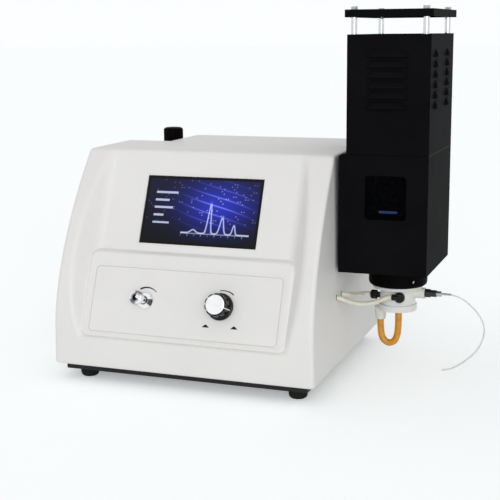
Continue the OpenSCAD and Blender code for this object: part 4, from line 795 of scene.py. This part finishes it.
FINE_R, FINE_REACH, FINE_HEAD, FINE_COLLAR_R = 8.7, 33.0, 9.5, 11.25
head_z = FINE_REACH - FINE_HEAD
TURNED_AROUND = 120
fine_profile = rounded_corners([
    (3.1, 2.3), (5, 2.3), (5, head_z - 3), (6.1, head_z - 1.4), (FINE_R - 1.6, head_z),
    (FINE_R, head_z + 1.8), (FINE_R, FINE_REACH - 1.2), (FINE_R - 0.9, FINE_REACH),
    (2.4, FINE_REACH - 0.25), (0.005, FINE_REACH - 0.3)], 0.7)
fine_knob = turned(
    "fine_knob_turned", fine_profile, on_panel(FINE_X, VALVE_UP), panel_out, chrome_painted_reflection, TURNED_AROUND,
    lambda r, z, angle: r - 0.12 * (0.5 + 0.5 * math.cos(60 * angle)) * (r > FINE_R - 0.2))
# painted reflection: the face is painted as if it mirrored a bright window between two dark walls, and the
# side a bright stripe
dress(paint_reflection(fine_knob, len(fine_profile), TURNED_AROUND,
             lambda ring, angle: smooth_step(math.cos(angle - 0.4), 0.5, 0.75) if ring > 0.86
             else 0.25 + 0.75 * smooth_step(abs(math.cos(angle + 0.5)), 0.35, 0.8)),
      "fine_knob", "chrome", "fine_knob")
collar_profile = rounded_corners([
    (5.6, 0), (FINE_COLLAR_R, 0), (FINE_COLLAR_R, 3.2), (FINE_COLLAR_R - 0.8, 5.4), (8.4, 7.7),
    (6.6, 9), (5.35, 9), (5.35, 2.4)], 0.8)
fine_collar = turned("fine_collar_turned", collar_profile, on_panel(FINE_X, VALVE_UP), panel_out,
                     chrome_painted_reflection, TURNED_AROUND)
# painted reflection on the collar: bright, with two dark sectors across its outer rings
dress(paint_reflection(
    fine_collar, len(collar_profile), TURNED_AROUND,
    lambda ring, angle: 1 - 0.9 * smooth_step(math.cos(2 * (angle + 0.2)), 0.45, 0.8) * (ring > 0.3)),
      "machine", "chrome", "fine_collar")

# ---- Tower ----
box_low, box_high = span("burner_box")
chimney_low, chimney_high = span("chimney_box")
AXIS_X = (chimney_low.x + chimney_high.x) / 2
AXIS_Y = (box_low.y + box_high.y) / 2
FRONT_X = AXIS_X - 1.8
LOUVRES = 6
LOUVRE_PITCH, LOUVRE_H, LOUVRE_OUT, LOUVRE_TOP, LOUVRE_END = 12.4, 9.0, 4.0, 17.8, 7.0
LOUVRE_FRONT_L, LOUVRE_SIDE_L, LOUVRE_SIDE_GAP = 52.0, 34.0, 37.5


def louvre_sheet(middle, out, length):
    """Points and faces of one pressed louvre: highest at its open lower edge, run out at its ends."""
    along = out.cross(Vector((0, 0, 1)))
    across, up = 26, 9
    points, faces = [], []
    for j in range(up + 1):
        v = j / up
        for i in range(across + 1):
            half = length / 2 - LOUVRE_END * v
            u = (2 * i / across - 1) * half
            end = min(1.0, 2 * (half - abs(u)) / LOUVRE_END)
            rise = LOUVRE_OUT * (1 - v ** 2.2) * math.sin(math.pi / 2 * end) ** 0.8
            points.append(at(*(middle + along * u + out * (rise + 0.02) + Vector((0, 0, v * LOUVRE_H)))))
    for j in range(up):
        for i in range(across):
            a = j * (across + 1) + i
            faces.append((a + across + 1, a + across + 2, a + 1, a))
    return points, faces


def pressed_louvres():
    """All the chimney's louvres: one column front and back, two on each side."""
    points, faces = [], []
    top = chimney_high.z - LOUVRE_TOP - LOUVRE_H
    columns = [(Vector((FRONT_X, chimney_low.y, 0)), Vector((0, -1, 0)), LOUVRE_FRONT_L),
               (Vector((FRONT_X, chimney_high.y, 0)), Vector((0, 1, 0)), LOUVRE_FRONT_L)]
    columns += [(Vector((x, AXIS_Y + s * LOUVRE_SIDE_GAP, 0)), Vector((o, 0, 0)), LOUVRE_SIDE_L)
                for x, o in ((chimney_high.x, 1), (chimney_low.x, -1)) for s in (-1, 1)]
    for foot, out, length in columns:
        for i in range(LOUVRES):
            more, sheets = louvre_sheet(foot + Vector((0, 0, top - i * LOUVRE_PITCH)), out, length)
            faces += [tuple(k + len(points) for k in f) for f in sheets]
            points += more
    return mesh_piece("pressed_louvres", points, faces, powder_black, 60)


dress(solidified(pressed_louvres(), 0.9, 50), "machine", "tower_black", "louvres")

# Flame: a ring of small blue cones on the burner's head.
burning_gas = bare_material("burning_gas")
flame_place = add(burning_gas, "TexCoord")
flame_wave = add(burning_gas, "TexNoise", {"Scale": 1000 / 3, "Detail": 2.0},
                 {"Vector": (flame_place, "Object")})
flame_shade = add(burning_gas, "ValToRGB", links={"Fac": (flame_wave, "Fac")})
flame_shade.color_ramp.elements[0].color = linear("#3a62d8")
flame_shade.color_ramp.elements[1].color = linear("#a9c6ff")
flame_light = add(burning_gas, "Emission", {"Strength": 1.6}, {"Color": (flame_shade, "Color")})
add(burning_gas, "OutputMaterial", links={"Surface": (flame_light, "Emission")})


def flame_cones():
    """Rings of cones, tallest in the middle, just above the burner's head."""
    top = span("burner_head")[1].z
    points, faces = [], []
    around = 12
    rings = [(0.0, 1, 3.4), (5.5, 6, 3.2), (10.5, 12, 3.0)]
    profile = [(1.5, 0.0), (1.45, 0.25), (1.1, 0.5), (0.65, 0.75), (0.25, 0.93), (0.01, 1.0)]
    for ring, count, high in rings:
        for k in range(count):
            angle = math.tau * k / count
            cx, cy = AXIS_X + ring * math.cos(angle), AXIS_Y + ring * math.sin(angle)
            base = len(points)
            for r, t in profile:
                points += [at(cx + r * math.cos(turn), cy + r * math.sin(turn), top + 0.05 + high * t)
                           for turn in (math.tau * n / around for n in range(around))]
            for j in range(len(profile) - 1):
                for n in range(around):
                    a, b = base + j * around + n, base + j * around + (n + 1) % around
                    faces.append((a, b, b + around, a + around))
    return mesh_piece("flame_cones", points, faces, burning_gas, 60)


dress(flame_cones(), "machine", "ceramic")

# Painted shadow at the seam between the burner box and the chimney: a dark strip just proud of the sheet
# round the front, right side and back.
SEAM_H, SEAM_OUT, SEAM_CHAMFER = 1.3, 0.06, 4.0
seam_ends = (box_low.x + SEAM_CHAMFER, box_high.x + SEAM_OUT)
seam_path = [(x, y) for xs, y in ((seam_ends, box_low.y - SEAM_OUT), (seam_ends[::-1], box_high.y + SEAM_OUT))
             for x in xs]
dress(mesh_piece("seam_painted_shadow", [at(x, y, box_high.z - drop) for drop in (SEAM_H, 0) for x, y in seam_path],
                 [(k, k + 1, k + 5, k + 4) for k in range(3)], acetal_black), "machine", "tower_black")

# Painted shade behind the window: a black sheet close behind the glass, standing for the tower's dark inside,
# with the slit through which the flame shows blue.
SHADE_SHEET_Y, SLIT_X, SLIT_Z, SLIT_W, SLIT_H = box_low.y + 9.5, 238.0, 222.0, 23.0, 3.2
window_low, window_high = span("window_glass")
shade_sheet_half = (window_high - window_low) / 2 - Vector((1, 0, 1))
shade_sheet_mid = (window_high + window_low) / 2


def window_shade_sheet():
    """The black sheet of painted shade, four-sided around its slit, with the slit's short side walls."""
    outer = [(shade_sheet_mid.x + i * shade_sheet_half.x, shade_sheet_mid.z + j * shade_sheet_half.z) for i, j in SQUARE]
    inner = [(SLIT_X + i * SLIT_W / 2, SLIT_Z + j * SLIT_H / 2) for i, j in SQUARE]
    points = [at(x, y, z) for ring, y in ((outer, SHADE_SHEET_Y), (inner, SHADE_SHEET_Y), (inner, SHADE_SHEET_Y + 1))
              for x, z in ring]
    faces = [(a + k, a + (k + 1) % 4, a + 4 + (k + 1) % 4, a + 4 + k) for a in (0, 4) for k in range(4)]
    return mesh_piece("window_shade_sheet", points, faces, powder_black)


dress(window_shade_sheet(), "machine", "tower_black")
# Painted glow of the flame: a flat glowing patch just behind the slit, standing for the flame seen through
# it.
painted_glow_corners = [at(SLIT_X + i * SLIT_W / 2, SHADE_SHEET_Y + 1.2, SLIT_Z + j * SLIT_H / 2) for i, j in SQUARE]
dress(mesh_piece("painted_flame_glow", painted_glow_corners, [(0, 1, 2, 3)], burning_gas), "machine", "ceramic")

# ---- Hoses ----
OUTLET_Y, OUTLET_Z = (106.0, 129.0), 109.5
HOSE_X = HALF_W - 1.4
HOSE_Z, HOSE_D, DRAIN_D = 101.0, 6.0, 9.0
CHAMBER_R = 23.0
left_end = AXIS_X - CHAMBER_R - 13
elbow_x, elbow_y, elbow_z = AXIS_X + 8.5, AXIS_Y - CHAMBER_R - 6, 105.6
elbow_end = elbow_x - 10
gas_route = [(HOSE_X, OUTLET_Y[1], OUTLET_Z), (HOSE_X + 4.5, OUTLET_Y[1] + 1, OUTLET_Z - 0.2),
             (HOSE_X + 9.5, 136.5, 107.8), (HOSE_X + 12, 147, 105.6), (HOSE_X + 13.2, 158, 103.6),
             (HOSE_X + 16, 168, 102), (left_end - 7.5, AXIS_Y - 1.5, HOSE_Z + 0.2),
             (left_end - 3, AXIS_Y, HOSE_Z), (left_end - 0.3, AXIS_Y, HOSE_Z)]
air_route = [(HOSE_X, OUTLET_Y[0], OUTLET_Z), (HOSE_X + 4.5, OUTLET_Y[0] + 0.8, OUTLET_Z - 0.5),
             (HOSE_X + 12, 112, 104.8), (HOSE_X + 22, 120, 100.8), (HOSE_X + 33, 129.5, 99),
             (HOSE_X + 44, 138.5, 100.6), (elbow_end - 8, elbow_y - 0.8, elbow_z - 1.4),
             (elbow_end - 3, elbow_y, elbow_z), (elbow_end - 0.3, elbow_y, elbow_z)]
dress(hose("gas_hose_tube", gas_route, HOSE_D, ivory_pvc)[0], "machine", "hose_ivory", "gas_hose")
dress(hose("air_hose_tube", air_route, HOSE_D, ivory_pvc)[0], "machine", "hose_ivory", "air_hose")
FOOT_Z = 84.0  # underside of the spray chamber's foot
spigot_x, drain_x = AXIS_X - 22.5, AXIS_X + 1.5
drain_route = [(x, AXIS_Y, z) for x, z in (
    (spigot_x, FOOT_Z - 2.8), (spigot_x, 66), (spigot_x + 0.6, 54), (spigot_x + 2.4, 44.5),
    (spigot_x + 6.6, 38.6), (spigot_x + 12.2, 36.6), (drain_x - 5.4, 39.4), (drain_x - 1.6, 47.5),
    (drain_x - 0.2, 58), (drain_x, 68), (drain_x, FOOT_Z + 5.7))]
dress(hose("drain_trap_tube", drain_route, DRAIN_D, amber_latex)[0], "machine", "amber_tube", "drain_tube")


def knurled(r, z, angle):
    """Coarse knurl: ridges around the wide middle of a hand nut."""
    return r - 0.55 * (0.5 + 0.5 * math.cos(18 * angle)) * (r > 5.5)


# Hand nuts of the two hoses, the left one in line with its hose and the front one around its elbow.
left_nut = [(3.2, 0), (4.6, 0), (6, 1), (6, 8.6), (4.4, 9.4), (4, 9.6), (4, 12.9)]
front_nut = [(0.005, 0), (5.2, 0), (7, 1.4), (7, 6.2), (5, 6.8), (4, 7), (4, 9.2)]
dress(turned("left_hose_nut", rounded_corners(left_nut, 0.5), (left_end, AXIS_Y, HOSE_Z), (1, 0, 0),
             phenolic_black, 144, knurled), "machine", "nut_black", "hose_fittings")
dress(turned("front_hose_nut", rounded_corners(front_nut, 0.5), (elbow_x, elbow_y - 3, elbow_z), (0, 1, 0),
             phenolic_black, 144, knurled), "machine", "nut_black")
dress(turned("front_hose_elbow", rounded_corners([(3.2, 0), (4, 0.3), (4, 9), (3.4, 9.8)], 0.4),
             (elbow_end, elbow_y, elbow_z), (1, 0, 0), phenolic_black, 48), "machine", "nut_black")

# Regulator: a fluted knob, and the gauge's card with its ticks and no words.
knob_low, knob_high = span("regulator_knob")
REG_X, REG_Y = (knob_low.x + knob_high.x) / 2, (knob_low.y + knob_high.y) / 2
REG_R, REG_KNOB_H = (knob_high.x - knob_low.x) / 2, knob_high.z - knob_low.z
dress(turned("regulator_knob_fluted", rounded_corners([
    (12, 1), (12, 0), (REG_R, 0), (REG_R, REG_KNOB_H - 2.5), (REG_R - 2.5, REG_KNOB_H - 0.4),
    (REG_R - 5, REG_KNOB_H), (3, REG_KNOB_H - 0.4), (0.005, REG_KNOB_H - 0.5)], 1.0),
    (REG_X, REG_Y, knob_low.z), (0, 0, 1), acetal_black, 192,
    lambda r, z, angle: r - 0.8 * max(0.0, math.cos(24 * angle)) * (r > REG_R - 1.2) * (z < REG_KNOB_H - 2)),
    "regulator_knob", "knob_black", "regulator_knob")
gauge_low, gauge_high = span("gauge_case")
DIAL_Y, DIAL_Z, DIAL_R = gauge_high.y - 7 + 0.1, (gauge_low.z + gauge_high.z) / 2, 17.3
dress(turned("gauge_dial", [(0.9, 0), (DIAL_R, 0), (DIAL_R, -0.05)], (REG_X, DIAL_Y, DIAL_Z), (0, 1, 0),
             dial_card, 96), "machine", "plate_white")


def dial_ticks():
    """Ticks around three quarters of the dial, every fifth one long."""
    points, faces = [], []
    for k in range(31):
        angle = math.radians(-45 + 9 * k)
        ray = Vector((math.cos(angle), 0, math.sin(angle)))
        across = Vector((-math.sin(angle), 0, math.cos(angle)))
        inner, half = (DIAL_R - 4.2, 0.32) if k % 5 == 0 else (DIAL_R - 2.8, 0.18)
        middle = Vector((REG_X, DIAL_Y + 0.12, DIAL_Z))
        base = len(points)
        points += [at(*(middle + ray * r + across * s)) for r, s in
                   ((inner, -half), (DIAL_R - 1, -half), (DIAL_R - 1, half), (inner, half))]
        faces.append((base, base + 1, base + 2, base + 3))
    return mesh_piece("gauge_ticks", points, faces, printed_ink)


dress(dial_ticks(), "machine", "plate_white")

# ---- Floor, light and air ----
FLOOR_HALF, FLOOR_DROP = 30.0, 0.0002  # metres
FLOOR_LIFT = 0.32  # brightens the floor to the eye alone, toward the photograph's white ground
ROOM_LIGHT, BACKDROP_LIGHT = 0.61, 1.0


def seen_rays(material):
    """1 for rays that reach the eye, straight, mirrored or through glass, and 0 for those that light."""
    rays = add(material, "LightPath")
    seen = add(material, "Math", {"operation": "MAXIMUM"},
               {0: (rays, "Is Camera Ray"), 1: (rays, "Is Glossy Ray")})
    return add(material, "Math", {"operation": "MAXIMUM"},
               {0: (seen, "Value"), 1: (rays, "Is Transmission Ray")})


floor_material = bare_material("pale_floor")
seen = seen_rays(floor_material)
lift = add(floor_material, "Math", {"operation": "MULTIPLY", 1: FLOOR_LIFT}, {0: (seen, "Value")})
paper = add(floor_material, "BsdfDiffuse", {"Color": linear("#f8fafa")})
lifted = add(floor_material, "Emission", {"Color": linear("#fafeff")}, {"Strength": (lift, "Value")})
both = add(floor_material, "AddShader", links={0: (paper, "BSDF"), 1: (lifted, "Emission")})
add(floor_material, "OutputMaterial", links={"Surface": (both, "Shader")})
floor = mesh_piece("floor", [(FLOOR_HALF * i, FLOOR_HALF * j, -FLOOR_DROP) for i, j in SQUARE],
                   [(0, 1, 2, 3)], floor_material)

world = bpy.data.worlds.new("studio")
bpy.context.scene.world = world
world.use_nodes = True
world.node_tree.nodes.clear()
world_seen = seen_rays(world)
room = add(world, "Background", {"Color": linear("#ffffff"), "Strength": ROOM_LIGHT})
backdrop = add(world, "Background", {"Color": linear("#fcfeff"), "Strength": BACKDROP_LIGHT})
mixed = add(world, "MixShader", links={"Fac": (world_seen, "Value"), 1: (room, "Background"),
                                       2: (backdrop, "Background")})
add(world, "OutputWorld", links={"Surface": (mixed, "Shader")})

key = bpy.data.lights.new("key", "SUN")
key.energy = 1.15
key.angle = math.radians(35)
key_light = bpy.data.objects.new("key", key)
KEY_FROM = Vector((0.36, -0.90, 0.24))
key_light.rotation_euler = KEY_FROM.to_track_quat("Z", "Y").to_euler()
bpy.context.scene.collection.objects.link(key_light)

bpy.context.scene.view_settings.view_transform = "Standard"
